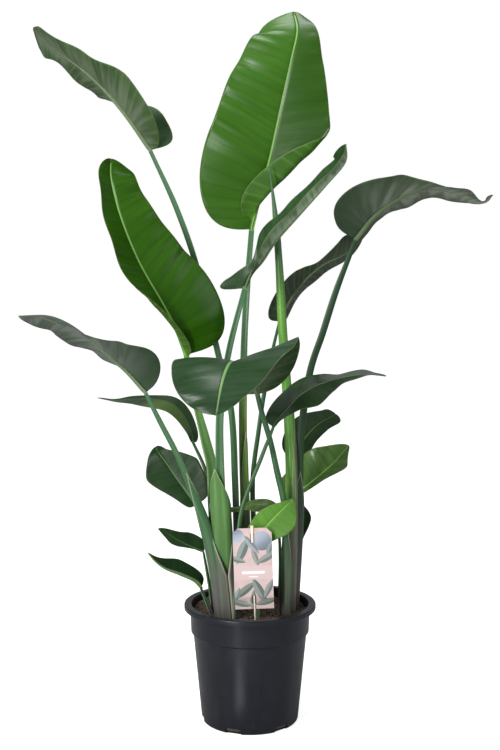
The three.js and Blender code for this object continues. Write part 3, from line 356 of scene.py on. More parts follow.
SHEATH_DEFAULTS = dict(shift=(0, 0), size=1)
SHEATH_STEP = 4
SHEATH_COLUMNS = 25
SHEATH_OFF = 0.9
SHEATH_THICK = 0.8
NEARLY_ROUND = 3.1

# The card's artwork, in millimetres and degrees: x, z, radius, turn and two colours of a disc,
# and x, z, half length, half width, turn and two colours of a leaf shape.
CARD_DISCS = [
    (17, 50, 17, 35, (0.16, 0.19, 0.24), (0.42, 0.46, 0.54)),
    (-27, 60, 12, 200, (0.22, 0.25, 0.31), (0.44, 0.47, 0.55))]
CARD_LEAVES = [
    (-18, 34, 27, 8, 66, (0.13, 0.17, 0.16), (0.27, 0.32, 0.31)),
    (-28, 18, 17, 5, -18, (0.15, 0.2, 0.17), (0.26, 0.32, 0.28)),
    (4, 22, 19, 5, 108, (0.2, 0.22, 0.21), (0.32, 0.33, 0.32)),
    (-2, 44, 22, 5.5, 128, (0.19, 0.22, 0.24), (0.34, 0.37, 0.4)),
    (30, 36, 16, 5, 70, (0.15, 0.19, 0.19), (0.27, 0.31, 0.31)),
    (24, 20, 21, 6.2, 28, (0.17, 0.19, 0.18), (0.3, 0.31, 0.3)),
    (-16, -38, 26, 6.5, 38, (0.1, 0.14, 0.12), (0.2, 0.25, 0.21)),
    (10, -40, 28, 7.5, 116, (0.12, 0.15, 0.14), (0.25, 0.29, 0.26)),
    (26, -36, 20, 5.5, 64, (0.16, 0.18, 0.17), (0.28, 0.31, 0.28)),
    (-2, -56, 20, 5, 84, (0.11, 0.15, 0.14), (0.22, 0.26, 0.24)),
    (-30, -46, 15, 5, 70, (0.18, 0.21, 0.2), (0.3, 0.34, 0.32)),
    (22, -60, 22, 6, 14, (0.15, 0.18, 0.16), (0.24, 0.28, 0.25)),
    (-24, -62, 22, 6, -14, (0.14, 0.19, 0.16), (0.28, 0.33, 0.29))]

# The plain band across the card, and its blank bars: bottom, top and half length.
CARD_BAND = (-19, 6.5)
CARD_BARS = [(-8.5, -3.5, 20), (-14.5, -12.5, 8)]

# The soil stands off the pot, spreads a little up its collar and has a small flat middle.
SOIL_GAP = 0.4
SOIL_SPREAD = 0.8
SOIL_MIDDLE = 0.3
SOIL_RINGS = 52
SOIL_SIDES = 170

# Lumps on the soil: height and length in millimetres, and a place in the noise.
SOIL_LUMPS = ((2.6, 21, (0, 0, 0)), (1.7, 8.5, (7, 3, 1)), (1.1, 3.6, (1, 9, 4)))
CRUMB_COUNT = 900
CRUMB_SIZES = (1.0, 1.4, 1.9, 2.6, 3.6)
PERLITE_SHARE = 0.03
FIBRE_COUNT = 70
FIBRE_SIZE = 0.9

POT_SIDES = 160
POT_SHARP = 38
NOTCH_ROUND = 2.5
STICK_ROUND = 0.55
STICK_POINT = 22
EDGE_SHARP = 50
SPEAR_STEP = 4
SPEAR_SIDES = 28
SPEAR_TURN = 2.2
SPEAR_START = 2.4
SPEAR_LAP = 0.16

AMBIENT = 0.4
FLOOR_SIZE = 30
FLOOR_GLOW = 0.75
FLOOR_DIMMED = 0.5

# Lights: metres from where to where, width, height and watts. The sheen lies on the floor and
# makes the bright stripe on the pot.
PLANT_MIDDLE = (0, 0, 0.7)
LIGHTS = {
    "key": ((-1.7, -1.9, 2.3), PLANT_MIDDLE, 0.6, 0.9, 60),
    "fill": ((2.2, -1.6, 1.3), PLANT_MIDDLE, 1.0, 1.4, 9),
    "top": ((0.0, 0.1, 3.0), PLANT_MIDDLE, 0.9, 0.9, 26),
    "sheen": ((-0.241, -0.564, 0.004), PLANT_MIDDLE, 0.045, 0.92, 0.3),
    "strip": ((-1.15, -2.15, 0.5), (0, 0, 0.2), 0.2, 1.2, 28)}
SHEEN_TURN = -25.6

# The photograph's camera: metres, degrees and millimetres.
CAMERA_PLACE = (0, -2.1, 0.836)
CAMERA_TILT = 5.5
CAMERA_LENS = 56.45
CAMERA_SENSOR = 36


def cubic(a, b, c, d, t):
    """Where a smooth curve is on its way from b to c, with a before them and d after."""
    u, v = (c - a) / 2, (d - b) / 2
    return (2 * b - 2 * c + u + v) * t**3 + (3 * c - 3 * b - 2 * u - v) * t**2 + u * t + b


class Line:
    """A curve through points that is read at a share of its length, straight on below 0."""

    def __init__(self, points, steps=40):
        p = np.asarray(points, float)
        p = np.vstack([2 * p[0] - p[1], p, 2 * p[-1] - p[-2]])
        t = np.linspace(0, 1, steps, endpoint=False)[:, None]
        parts = [cubic(a, b, c, d, t) for a, b, c, d in zip(p, p[1:], p[2:], p[3:])]
        self.points = np.vstack([*parts, p[-2]])
        steps_long = np.linalg.norm(np.diff(self.points, axis=0), axis=1)
        self.places = np.concatenate([[0], np.cumsum(steps_long)])
        self.length = self.places[-1]
        self.start = unit(self.points[3] - self.points[0])

    def at(self, share):
        place = np.asarray(share, float) * self.length
        point = np.stack([np.interp(place, self.places, self.points[:, k]) for k in range(3)], -1)
        return point + np.minimum(place, 0)[..., None] * self.start

    def tangent(self, share, step=0.004):
        here = np.clip(share, 0, 1)
        return unit(self.at(np.minimum(here + step, 1)) - self.at(np.maximum(here - step, 0)))


def read_between(values, share):
    """Where shares fall among evenly spaced values: the lower index and the part past it."""
    place = np.clip(share, 0, 1) * (len(values) - 1)
    low = np.minimum(place.astype(int), len(values) - 2)
    return low, place - low


def along(values, share):
    """Evenly spaced numbers or lists, eased between each two."""
    values = np.asarray(values * 2 if len(values) == 1 else values, float)
    low, part = read_between(values, share)
    part = part * part * (3 - 2 * part)
    if values.ndim > 1:
        part = part[..., None]
    return values[low] * (1 - part) + values[low + 1] * part


def spline(values, share):
    """A smooth curve through evenly spaced numbers."""
    v = np.asarray(values, float)
    low, part = read_between(v, share)
    return cubic(v[np.maximum(low - 1, 0)], v[low], v[low + 1], v[np.minimum(low + 2, len(v) - 1)], part)


def smoothstep(low, high, x):
    x = np.clip((x - low) / (high - low), 0, 1)
    return x * x * (3 - 2 * x)


def unit(vectors):
    return vectors / np.maximum(np.linalg.norm(vectors, axis=-1, keepdims=True), 1e-9)


def squared(up, forward):
    """up, turned square to forward."""
    return unit(up - (up * forward).sum(-1, keepdims=True) * forward)


def normals(points):
    """The upward normals of a grid of points, rows by columns."""
    return unit(np.cross(np.gradient(points, axis=1), np.gradient(points, axis=0)))


def placed(centre, right, up, x, y):
    """Points at x to the right of each centre and y above it. x and y: rows by columns."""
    return centre[:, None] + right[:, None] * x[..., None] + up[:, None] * y[..., None]


def half_width(leaf, half, t):
    a, b = leaf["shape"]
    widest = a / (a + b)
    share = (t / widest) ** a * ((1 - t) / (1 - widest)) ** b
    return np.maximum(NARROWEST, leaf["width"][half] * share * spline(leaf["trim"][half], t))


def blade_half(leaf, rib, half, t, across):
    """Points of one half of the upper side, rows by columns from the rib to the margin."""
    wide = half_width(leaf, half, t)
    lobe = leaf["lobe"][half]
    lean = -lobe + (lobe + leaf["slant"]) * smoothstep(0, LOBE_END, t) - leaf["slant"] * t**3
    fold, curl = along(leaf["fold"][half], t), along(leaf["curl"][half], t)
    turn, start, end, soft = leaf["roll"][half]
    side = -1 if half == 0 else 1
    columns = []
    for v in across:
        share = np.minimum(t + v * lean * wide / rib.length, 1)
        forward = rib.tangent(share)
        up = squared(along(leaf["face"], share), forward)
        right = np.cross(forward, up)
        k = (np.arange(BEND_STEPS) + 0.5) / BEND_STEPS * v
        roll = turn * smoothstep(-soft, soft, k[None] - ((t - start) / (end - start))[:, None])
        angle = np.radians(fold[:, None] + curl[:, None] * k[None] + roll)
        out = (wide * v * np.cos(angle).mean(1))[:, None]
        rise = (wide * v * np.sin(angle).mean(1))[:, None]
        columns.append(rib.at(share) + side * right * out + up * rise)
    return np.stack(columns, 1)


def even_rows(leaf, length):
    """Shares along the rib whose rows are evenly spaced round the outline."""
    fine = (1 - np.cos(np.pi * np.linspace(BLADE_START, 1 - BLADE_START, OUTLINE_STEPS))) / 2
    wide = (half_width(leaf, 0, fine) + half_width(leaf, 1, fine)) / 2
    run = np.hypot(np.diff(fine) * length, np.diff(wide))
    run = np.concatenate([[0], np.cumsum(run)])
    return np.interp(np.linspace(0, run[-1], int(run[-1] / ROW_STEP) + 2), run, fine)


def pleats(reach, seed):
    """Height of the ripples between the side veins, where reach is the place along the rib."""
    warped = reach + sum(high * np.sin(reach / long + k * seed) for high, long, k in VEIN_SWAYS)
    broad = np.sin(warped * 2 * np.pi / PLEAT_LONG)
    fine = np.abs(np.sin(warped * np.pi / VEIN_STEP))
    return PLEAT_HIGH * broad - VEIN_DEEP * (1 - fine) ** 3


def sheet_faces(rows, columns):
    """Faces of a closed sheet: a grid of upper points, the same grid below it, and the edge."""
    i, j = np.meshgrid(np.arange(rows - 1), np.arange(columns - 1), indexing="ij")
    a = (i * columns + j).ravel()
    quads = np.stack([a, a + 1, a + columns + 1, a + columns], 1)
    lower = quads[:, ::-1] + rows * columns
    rim = np.concatenate([
        np.arange(columns), np.arange(2, rows + 1) * columns - 1,
        (rows - 1) * columns + np.arange(columns - 2, -1, -1), np.arange(rows - 2, 0, -1) * columns])
    after = np.roll(rim, -1)
    wall = np.stack([after, rim, rim + rows * columns, after + rows * columns], 1)
    return np.concatenate([quads, lower, wall]).tolist()


def tube_faces(rows, columns):
    """Faces of a tube of rings and its two flat ends."""
    i, j = np.meshgrid(np.arange(rows - 1), np.arange(columns), indexing="ij")
    a, b = (i * columns + j).ravel(), (i * columns + (j + 1) % columns).ravel()
    quads = np.stack([b, a, a + columns, b + columns], 1).tolist()
    return [*quads, list(range(columns)), [(rows - 1) * columns + k for k in range(columns)][::-1]]


def point_marks(shape, copies=1, **marks):
    """What a material reads at each point. What isn't given is as on the skin of a stalk."""
    marks = {"edge": FAR_FROM_EDGE, "share": 0, "upper": 1, "lip": 0, **marks}
    return {key: np.tile(np.broadcast_to(value, shape).astype(float).ravel(), copies)
            for key, value in marks.items()}


def blade_mesh(leaf, rib, seed):
    """A thin closed blade: its points, faces and marks."""
    t = even_rows(leaf, rib.length)
    widest = max(leaf["width"])
    q = np.linspace(0, 1, int(widest / COLUMN_STEP) + 6) ** COLUMN_EASE
    left, right = (blade_half(leaf, rib, half, t, q) for half in (0, 1))
    top = np.concatenate([left[:, :0:-1], right], 1)
    v = np.concatenate([-q[:0:-1], q])[None]
    wide = np.where(v < 0, half_width(leaf, 0, t)[:, None], half_width(leaf, 1, t)[:, None])
    across = wide * v
    reach = np.broadcast_to((t * rib.length)[:, None], across.shape)
    edge = wide * (1 - np.abs(v))

    size = min(1, widest / FULL_RELIEF)
    inner = smoothstep(*RELIEF_FROM_RIB, np.abs(across)) * smoothstep(*RELIEF_FROM_EDGE, edge)
    wave = MARGIN_WAVE * size * np.abs(v) ** 3 * np.sin(
        2 * np.pi * reach / MARGIN_LONG + seed + HALVES_APART * np.sign(v))
    wave = wave * smoothstep(0, MARGIN_FADE, reach) * smoothstep(0, MARGIN_FADE, rib.length - reach)
    groove = -GROOVE_DEEP * size * np.exp(-((across / GROOVE_WIDTH) ** 2))
    top = top + normals(top) * (size * inner * pleats(reach, seed) + wave + groove)[..., None]
    thick = BLADE_THICK * (EDGE_THICK + (1 - EDGE_THICK) * smoothstep(0, EDGE_WIDE, edge))
    under = top - normals(top) * thick[..., None]

    points = np.concatenate([top.reshape(-1, 3), under.reshape(-1, 3)])
    marks = point_marks(across.shape, 2, reach=reach, across=across, edge=edge, share=reach / rib.length,
                        stalk=0)
    marks["upper"][across.size:] = 0
    return points, sheet_faces(*across.shape), marks


def stalk_mesh(leaf, stalk, rib):
    """The stalk and the rib below the blade: one channelled tube that tapers to the tip."""
    n_stalk, n_rib = int(stalk.length / STALK_STEP), int(rib.length / STALK_STEP)
    stalk_share = np.linspace(-STALK_DEPTH / stalk.length, 1, n_stalk)
    rib_share = np.linspace(0, RIB_END, n_rib)[1:]
    centre = np.concatenate([stalk.at(stalk_share), rib.at(rib_share)])
    forward = unit(np.gradient(centre, axis=0))
    up = np.zeros_like(forward)
    up[n_stalk:] = squared(along(leaf["face"], rib_share), forward[n_stalk:])
    here = np.asarray(leaf["face"][0], float)
    for k in range(n_stalk - 1, -1, -1):
        here = squared(here, forward[k])
        up[k] = here
    right = np.cross(forward, up)

    def run_on(on_stalk, on_rib):
        return np.concatenate([np.broadcast_to(on_stalk, n_stalk), np.broadcast_to(on_rib, n_rib - 1)])

    share = np.clip(stalk_share, 0, 1)
    size = along(leaf["stem"], share)
    joint = smoothstep(JOINT_START, 1, share)
    wide = run_on(size[:, 0], along([size[-1, 0] * KEEL_START, KEEL_TIP[0]], rib_share))
    deep = run_on(size[:, 1], along([size[-1, 1], KEEL_TIP[1]], rib_share))
    rise = run_on(STALK_CROWN * (1 - joint), 0)
    dip = run_on(CHANNEL_DEEP * (1 - joint), 0)
    sink = run_on(0, BLADE_THICK * KEEL_SINK)

    angle = (np.arange(STALK_SIDES) + 0.5) / STALK_SIDES * 2 * np.pi
    x, y = np.cos(angle), np.sin(angle)
    above = y > 0
    channel = np.exp(-((x / CHANNEL_WIDE) ** 2))
    crown = rise[:, None] * np.sqrt(np.abs(y))[None] - dip[:, None] * channel[None]
    height = np.where(above[None], crown, y[None]) * deep[:, None] - sink[:, None]
    points = placed(centre, right, up, x[None] * wide[:, None], height)

    run = np.linalg.norm(np.gradient(centre, axis=0), axis=1).cumsum()
    lip = LIP_SHOWN * np.exp(-(((np.abs(x) - LIP_PLACE) / LIP_WIDE) ** 2)) * above
    up_share = run_on(share, 1)[:, None]
    marks = point_marks(
        height.shape, reach=run[:, None], across=angle * 6, upper=above * (up_share < 1),
        stalk=stalk_mark(up_share), lip=lip * (1 - run_on(joint, 1))[:, None])
    return points.reshape(-1, 3), tube_faces(*height.shape), marks


def stalk_mark(share):
    """The mark of a stalk, from 0.02 at the soil to 1 at the blade. A blade's is 0."""
    return 0.02 + 0.98 * share


def sheath_mesh(leaf, stalk, sheath):
    """A leaf sheath round the stalk's foot. It narrows to a point on the side that it faces."""
    low = -STALK_DEPTH / stalk.length
    share = np.linspace(low, sheath["top"], int((sheath["top"] - low) * stalk.length / SHEATH_STEP))
    climb = np.clip(share / sheath["top"], 0, 1)
    out = 0.5 + 0.5 * smoothstep(0.1, 0.5, climb)
    centre = stalk.at(share) + np.array([*sheath["shift"], 0.0]) * out[:, None]
    forward = unit(np.gradient(centre, axis=0))
    front = math.radians(sheath["facing"])
    ahead = squared(np.array([math.cos(front), math.sin(front), 0.0]), forward)
    aside = np.cross(forward, ahead)
    reach_round = math.radians(sheath["round"]) * (1 - climb**sheath["point"]) + 0.03
    reach_round = np.minimum(reach_round, NEARLY_ROUND)
    bulge = sheath["bulge"] * (1 - climb) + SHEATH_OFF
    size = along(leaf["stem"], np.clip(share, 0, 1)) * sheath["size"]
    across = np.linspace(-1, 1, SHEATH_COLUMNS)
    angle = across[None] * reach_round[:, None]
    face = np.cos(angle)[..., None] * ahead[:, None] + np.sin(angle)[..., None] * aside[:, None]
    radius = np.sqrt((face[..., 0] * size[:, :1]) ** 2 + ((1 - face[..., 0] ** 2) * size[:, 1:] ** 2))
    outer = centre[:, None] + face * (radius + bulge[:, None])[..., None]
    inner = outer - face * SHEATH_THICK
    points = np.concatenate([outer.reshape(-1, 3), inner.reshape(-1, 3)])
    edge = (1 - np.abs(across)[None]) * reach_round[:, None] * radius
    lip = smoothstep(1.6, 0.2, np.minimum(edge, (sheath["top"] - share)[:, None] * stalk.length * 0.5))
    marks = point_marks(
        angle.shape, 2, reach=(share * stalk.length)[:, None], across=angle * 9 + 40,
        stalk=stalk_mark(sheath["ripe"] * climb)[:, None], lip=lip)
    return points, sheet_faces(*angle.shape), marks


def add_object(name, data):
    piece = bpy.data.objects.new(name, data)
    bpy.context.collection.objects.link(piece)
    return piece


def mesh_object(name, points, faces, marks):
    """A smooth mesh from points in millimetres, with its marks as attributes."""
    mesh = bpy.data.meshes.new(name)
    mesh.from_pydata((points * MM).tolist(), [], faces)
    for key, values in marks.items():
        layer = mesh.attributes.new(key, "FLOAT", "POINT")
        layer.data.foreach_set("value", values.astype(np.float32))
    mesh.update()
    mesh.shade_smooth()
    return add_object(name, mesh)


def make_leaf(row, seed):
    leaf = {**LEAF_DEFAULTS, **row}
    name = leaf["name"]
    stalk, rib = Line(leaf["stalk"]), Line([leaf["stalk"][-1], *leaf["rib"]])
    meshes = [blade_mesh(leaf, rib, seed), stalk_mesh(leaf, stalk, rib)]
    if name in SHEATHS:
        meshes.append(sheath_mesh(leaf, stalk, {**SHEATH_DEFAULTS, **SHEATHS[name]}))
    faces, start = [], 0
    for points, part_faces, marks in meshes:
        faces += [[k + start for k in face] for face in part_faces]
        start += len(points)
    points = np.concatenate([mesh[0] for mesh in meshes])
    marks = {key: np.concatenate([mesh[2][key] for mesh in meshes]) for key in meshes[0][2]}
    piece = mesh_object(name + "_grown", points, faces, marks)
    piece.data.materials.append(leaf_material(name, LOOKS.get(name, {}), seed))
    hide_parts(leaf["name"])
    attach(piece, "root")


class Graph:
    """Builds a material's nodes. Sockets and plain numbers can both be given as inputs."""

    def __init__(self, name, roughness=0.5):
        self.material = bpy.data.materials.new(name)
        self.material.use_nodes = True
        self.tree = self.material.node_tree
        self.shader = self.tree.nodes["Principled BSDF"].inputs
        self.shader["Roughness"].default_value = roughness

    def node(self, kind, values=(), out=0, **settings):
        node = self.tree.nodes.new("ShaderNode" + kind)
        for key, value in settings.items():
            setattr(node, key, value)
        for key, value in dict(values).items():
            self.put(node.inputs[key], value)
        return node.outputs[out]

    def put(self, socket, value):
        if isinstance(value, bpy.types.NodeSocket):
            self.tree.links.new(value, socket)
        elif isinstance(value, (tuple, list)) and len(value) == 3 and socket.type == "RGBA":
            socket.default_value = (*value, 1)
        else:
            socket.default_value = value

    def math(self, operation, a, b=0.0):
        return self.node("Math", {0: a, 1: b}, operation=operation)

    def add(self, a, b):
        return self.math("ADD", a, b)

    def less(self, a, b):
        return self.math("SUBTRACT", a, b)

    def times(self, a, b):
        return self.math("MULTIPLY", a, b)

    def size(self, a):
        return self.math("ABSOLUTE", a)

    def ramp(self, value, low, high, start=0.0, end=1.0):
        """start below low, end above high, and smooth between."""
        values = {"Value": value, "From Min": low, "From Max": high, "To Min": start, "To Max": end}
        return self.node("MapRange", values, interpolation_type="SMOOTHSTEP")

    def mix(self, factor, a, b):
        node = self.tree.nodes.new("ShaderNodeMix")
        node.data_type = "RGBA"
        for key, value in (("Factor_Float", factor), ("A_Color", a), ("B_Color", b)):
            self.put(next(s for s in node.inputs if s.identifier == key), value)
        return next(s for s in node.outputs if s.identifier == "Result_Color")

    def mark(self, name):
        return self.node("Attribute", attribute_name=name, out=2)

    def here(self):
        """The place in the object's own frame."""
        return self.node("TexCoord", out=3)

    def place(self, stretch=(1, 1, 1)):
        return self.node("Mapping", {"Vector": self.here(), "Scale": stretch})

    def vector(self, x, y, z):
        return self.node("CombineXYZ", {0: x, 1: y, 2: z})

    def noise(self, vector, scale, detail=3, rough=0.5):
        values = {"Vector": vector, "Scale": scale, "Detail": detail, "Roughness": rough}
        return self.node("TexNoise", values)

    def finish(self, colour, roughness, height, distance, strength):
        """Links the colour, the roughness if there is one, and a bump of the height."""
        bump = self.node("Bump", {"Height": height, "Distance": distance, "Strength": strength})
        self.put(self.shader["Base Color"], colour)
        self.put(self.shader["Normal"], bump)
        if roughness is not None:
            self.put(self.shader["Roughness"], roughness)
        return self.material


def darkened(colour, share):
    return tuple(share * c for c in colour)


def upper_colour(g, look, vein, bands, broad):
    """The upper side: patches, side veins, painted shade on its right half, light through the left."""
    across, share = g.mark("across"), g.mark("share")
    colour = g.mix(g.ramp(g.add(g.times(bands, 0.45), g.times(broad, 0.55)), 0.3, 0.7),
                   look["dark"], look["light"])
    colour = g.mix(g.times(vein, look["vein"]), colour, darkened(look["dark"], 0.55))
    # Painted shade: the right half of the upper side is darkened by look['right'].
    colour = g.mix(g.times(g.ramp(across, -8, 8), look["right"]), colour, darkened(look["dark"], 0.6))
    patch = g.times(g.ramp(share, 0.04, 0.14), g.ramp(share, 0.42, 0.6, 1, 0))
    patch = g.times(patch, g.ramp(across, -7, -1, 1, 0))
    return g.mix(g.times(patch, look["left"]), colour, look["left_colour"])


def lower_colour(g, look, vein, bands, outward):
    """The lower side: bands from rib to margin, a greener rim, veins and a darker base."""
    colour = g.mix(g.ramp(g.add(bands, g.times(g.less(0.5, outward), 0.25)), 0.36, 0.64),
                   look["under_dark"], look["under_light"])
    colour = g.mix(g.times(g.ramp(outward, 0.35, 1), look["under_rim_shown"]), colour, look["under_rim"])
    colour = g.mix(g.times(vein, look["under_vein"]), colour, look["under_rib"])
    base = g.ramp(g.mark("share"), 0.02, 0.4, 1, 0)
    return g.mix(g.times(base, look["shade"]), colour, UNDER_SHADE)


def stalk_colour(g, look, seed):
    """The stalk: from foot to neck, with streaks along it and pale lips."""
    stalk = g.mark("stalk")
    streak = g.vector(g.times(g.mark("across"), 0.22), g.times(g.mark("reach"), 0.006), seed)
    streaks = g.noise(streak, 1, 3, 0.6)
    rising = g.add(stalk, g.times(g.less(streaks, 0.5), 0.35))
    colour = g.mix(g.ramp(rising, 0.03, look["foot_end"]), look["foot"], look["stalk"])
    colour = g.mix(g.ramp(streaks, 0.45, 0.75), colour, look["streak"])
    neck = g.ramp(stalk, look["neck_from"], look["neck_full"])
    colour = g.mix(g.times(neck, 0.85), colour, look["neck"])
    colour = g.mix(g.times(g.mark("lip"), look["lip"]), colour, look["lip_colour"])
    return g.mix(g.ramp(stalk, 0.994, 0.999), colour, look["under_rib"])


def leaf_material(name, look, seed):
    """Blade above and below, its veins, rib and margin, and the stalk, by the mesh's marks."""
    look = {**PLAIN_LOOK, **look}
    g = Graph(name)
    reach, across, edge, share, upper = map(g.mark, ("reach", "across", "edge", "share", "upper"))
    broad = g.noise(g.place(), 9, 2)

    warped = reach
    for high, long, k in VEIN_SWAYS:
        wave = g.math("SINE", g.add(g.math("DIVIDE", reach, long), k * seed))
        warped = g.add(warped, g.times(wave, high))
    beat = g.size(g.math("SINE", g.times(warped, math.pi / VEIN_STEP)))
    vein = g.math("POWER", g.less(1, beat), 3)
    bands = g.noise(g.vector(g.times(warped, 0.07), g.times(across, 0.01), seed), 1, 2, 0.45)
    threads = g.noise(g.vector(g.times(warped, 1.1), g.times(across, 0.02), seed), 1, 2, 0.6)

    from_rib = g.size(across)
    outward = g.math("DIVIDE", from_rib, g.add(g.add(from_rib, edge), 0.01))
    blade = g.mix(upper, lower_colour(g, look, vein, bands, outward),
                  upper_colour(g, look, vein, bands, broad))
    half = g.ramp(share, 0, 1, look["rib_wide"], look["rib_wide"] * 0.3)
    along_rib = g.times(g.ramp(g.math("DIVIDE", from_rib, half), 0.55, 1, 1, 0),
                        g.ramp(share, 0.8, 0.97, look["rib_shown"], 0.2))
    blade = g.mix(along_rib, blade, look["rib"])
    blade = g.mix(g.times(g.ramp(edge, 0.5, 1.5, 1, 0), 0.7), blade, look["margin"])
    colour = g.mix(g.ramp(g.mark("stalk"), 0.005, 0.015), blade, stalk_colour(g, look, seed))

    grain = g.noise(g.place(), 700, 2)
    height = g.add(g.times(threads, 0.6), g.times(grain, 0.25))
    rough = g.add(g.ramp(upper, 0, 1, look["under_rough"], look["rough"]),
                  g.times(g.less(broad, 0.5), 0.16))
    g.shader["Specular IOR Level"].default_value = look["gloss"]
    return g.finish(colour, rough, height, 0.0005, 0.35)


def pot_material():
    """Black injection-moulded plastic: fine grain, faint flow lines, dust and scuffs."""
    g = Graph("nursery_pot")
    g.shader["Specular IOR Level"].default_value = 0.4
    g.put(g.shader["Specular Tint"], (0.84, 0.88, 1))
    grain = g.noise(g.place(), 900, 2)
    flow = g.noise(g.place((30, 30, 2.5)), 1, 4, 0.6)
    dust = g.noise(g.place(), 26, 5, 0.65)
    low = g.ramp(g.node("SeparateXYZ", {0: g.here()}, out=2), 0.0, 0.05, 1, 0)
    colour = g.mix(g.ramp(flow, 0.3, 0.7), (0.006, 0.006, 0.008), (0.01, 0.0105, 0.015))
    dusty = g.times(g.ramp(dust, 0.52, 0.78), g.add(g.times(low, 0.25), 0.1))
    colour = g.mix(dusty, colour, (0.06, 0.055, 0.048))
    rough = g.add(g.ramp(dust, 0.35, 0.75, 0.27, 0.38), g.times(grain, 0.06))
    height = g.add(g.times(grain, 0.06), g.times(flow, 0.5))
    return g.finish(colour, rough, height, 0.0004, 0.3)


def soil_material():
    g = Graph("potting_soil", 0.92)
    crumbs = g.noise(g.place(), 260, 5, 0.7)
    patches = g.noise(g.place(), 35, 3)
    colour = g.mix(g.ramp(crumbs, 0.32, 0.62), (0.018, 0.014, 0.011), (0.12, 0.084, 0.06))
    colour = g.mix(g.times(g.ramp(patches, 0.42, 0.7), 0.5), colour, (0.15, 0.1, 0.07))
    return g.finish(colour, None, crumbs, 0.0016, 0.9)


def plain_material(name, dark, light, roughness, scale):
    g = Graph(name, roughness)
    spots = g.noise(g.place(), scale, 4, 0.6)
    return g.finish(g.mix(g.ramp(spots, 0.35, 0.65), dark, light), None, spots, 0.0004, 0.6)


def stick_material():
    """Pale birch with grain along the stick."""
    g = Graph("birch_stick", 0.6)
    grain = g.noise(g.place((900, 900, 14)), 1, 4, 0.65)
    pores = g.noise(g.place((2400, 2400, 60)), 1, 2)
    colour = g.mix(g.ramp(grain, 0.35, 0.7), (0.9, 0.77, 0.66), (0.8, 0.65, 0.52))
    colour = g.mix(g.times(g.ramp(pores, 0.62, 0.75), 0.4), colour, (0.36, 0.25, 0.16))
    return g.finish(colour, None, grain, 0.0002, 0.6)


def card_material():
    """A printed card: leaf shapes in muted greens and soft discs on pale pink, a plain band."""
    g = Graph("printed_card", 0.38)
    middle = tuple(-MM * c for c in CARD_MIDDLE)
    moved = g.node("Mapping", {"Vector": g.here(), "Location": middle})
    lean = (0, math.radians(CARD_LEAN), 0)
    turned = g.node("Mapping", {"Vector": moved, "Rotation": lean, "Scale": (1 / MM,) * 3})
    x, z = (g.node("SeparateXYZ", {0: turned}, out=k) for k in (0, 2))

    def local(at_x, at_z, turn):
        """The card's x and z in a motif's own turned frame."""
        c, s = math.cos(math.radians(turn)), math.sin(math.radians(turn))
        dx, dz = g.add(x, -at_x), g.add(z, -at_z)
        return g.add(g.times(dx, c), g.times(dz, s)), g.add(g.times(dx, -s), g.times(dz, c))

    wash = g.noise(turned, 0.05, 3)
    colour = g.mix(g.ramp(wash, 0.35, 0.7), (0.66, 0.5, 0.485), (0.6, 0.45, 0.435))
    for at_x, at_z, radius, turn, dark, light in CARD_DISCS:
        u, w = local(at_x, at_z, turn)
        far = g.math("SQRT", g.add(g.times(u, u), g.times(w, w)))
        shade = g.mix(g.ramp(w, -radius, radius), dark, light)
        colour = g.mix(g.ramp(far, radius - 0.3, radius, 1, 0), colour, shade)
    for at_x, at_z, long, wide, turn, dark, light in CARD_LEAVES:
        u, w = local(at_x, at_z, turn)
        rest = g.less(1, g.math("POWER", g.size(g.math("DIVIDE", u, long)), 2))
        inside = g.ramp(g.less(g.times(rest, wide), g.size(w)), -0.15, 0.15)
        shade = g.mix(g.ramp(w, -0.4, 0.4), dark, light)
        shade = g.mix(g.ramp(g.size(w), 0.2, 0.5, 0.5, 0), shade, (0.45, 0.42, 0.4))
        colour = g.mix(inside, colour, shade)
    low, high = CARD_BAND
    band = g.times(g.ramp(z, low, low + 0.5), g.ramp(z, high - 0.5, high, 1, 0))
    colour = g.mix(band, colour, (0.68, 0.52, 0.51))
    for low, high, reach in CARD_BARS:
        bar = g.times(g.times(g.ramp(z, low - 0.2, low), g.ramp(z, high, high + 0.2, 1, 0)),
                      g.ramp(g.size(x), reach, reach + 0.2, 1, 0))
        colour = g.mix(g.times(bar, 0.9), colour, (0.92, 0.86, 0.85))
    return g.finish(colour, None, g.noise(g.place(), 500, 2), 0.0001, 0.3)


def ring(radius, height, sides):
    """Points round the Z axis. height is a number, or a function of x and y."""
    points = []
    for k in range(sides):
        angle = 2 * math.pi * k / sides
        x, y = radius * math.cos(angle), radius * math.sin(angle)
        points.append((x, y, height(x, y) if callable(height) else height))
    return points


def ring_faces(low, high, sides):
    """Faces between two rings of points. low and high: where each ring starts."""
    return [[low + k, low + (k + 1) % sides, high + (k + 1) % sides, high + k] for k in range(sides)]


def solid_mesh(name, points, faces):
    """A mesh from points in millimetres."""
    mesh = bpy.data.meshes.new(name)
    mesh.from_pydata([[c * MM for c in p] for p in points], [], faces)
    mesh.update()
    return mesh


def lathe_mesh(name, profile, sides):
    """A body turned round the Z axis from a profile of (radius, height) in millimetres."""
    points, faces, rings = [], [], []
    for radius, height in profile:
        first = len(points)
        rings.append(list(range(first, first + sides)) if radius else [first] * sides)
        points += ring(radius, height, sides) if radius else [(0, 0, height)]
    for low, high in zip(rings, rings[1:]):
        for i in range(sides):
            j = (i + 1) % sides
            faces.append(list(dict.fromkeys([low[i], low[j], high[j], high[i]])))
    return solid_mesh(name, points, faces)


def arc(centre, radius, start, end, steps):
    """Points on a circle in the profile's plane, angles in degrees."""
    turn = [math.radians(start + (end - start) * k / steps) for k in range(steps + 1)]
    return [(centre[0] + radius * math.cos(a), centre[1] + radius * math.sin(a)) for a in turn]


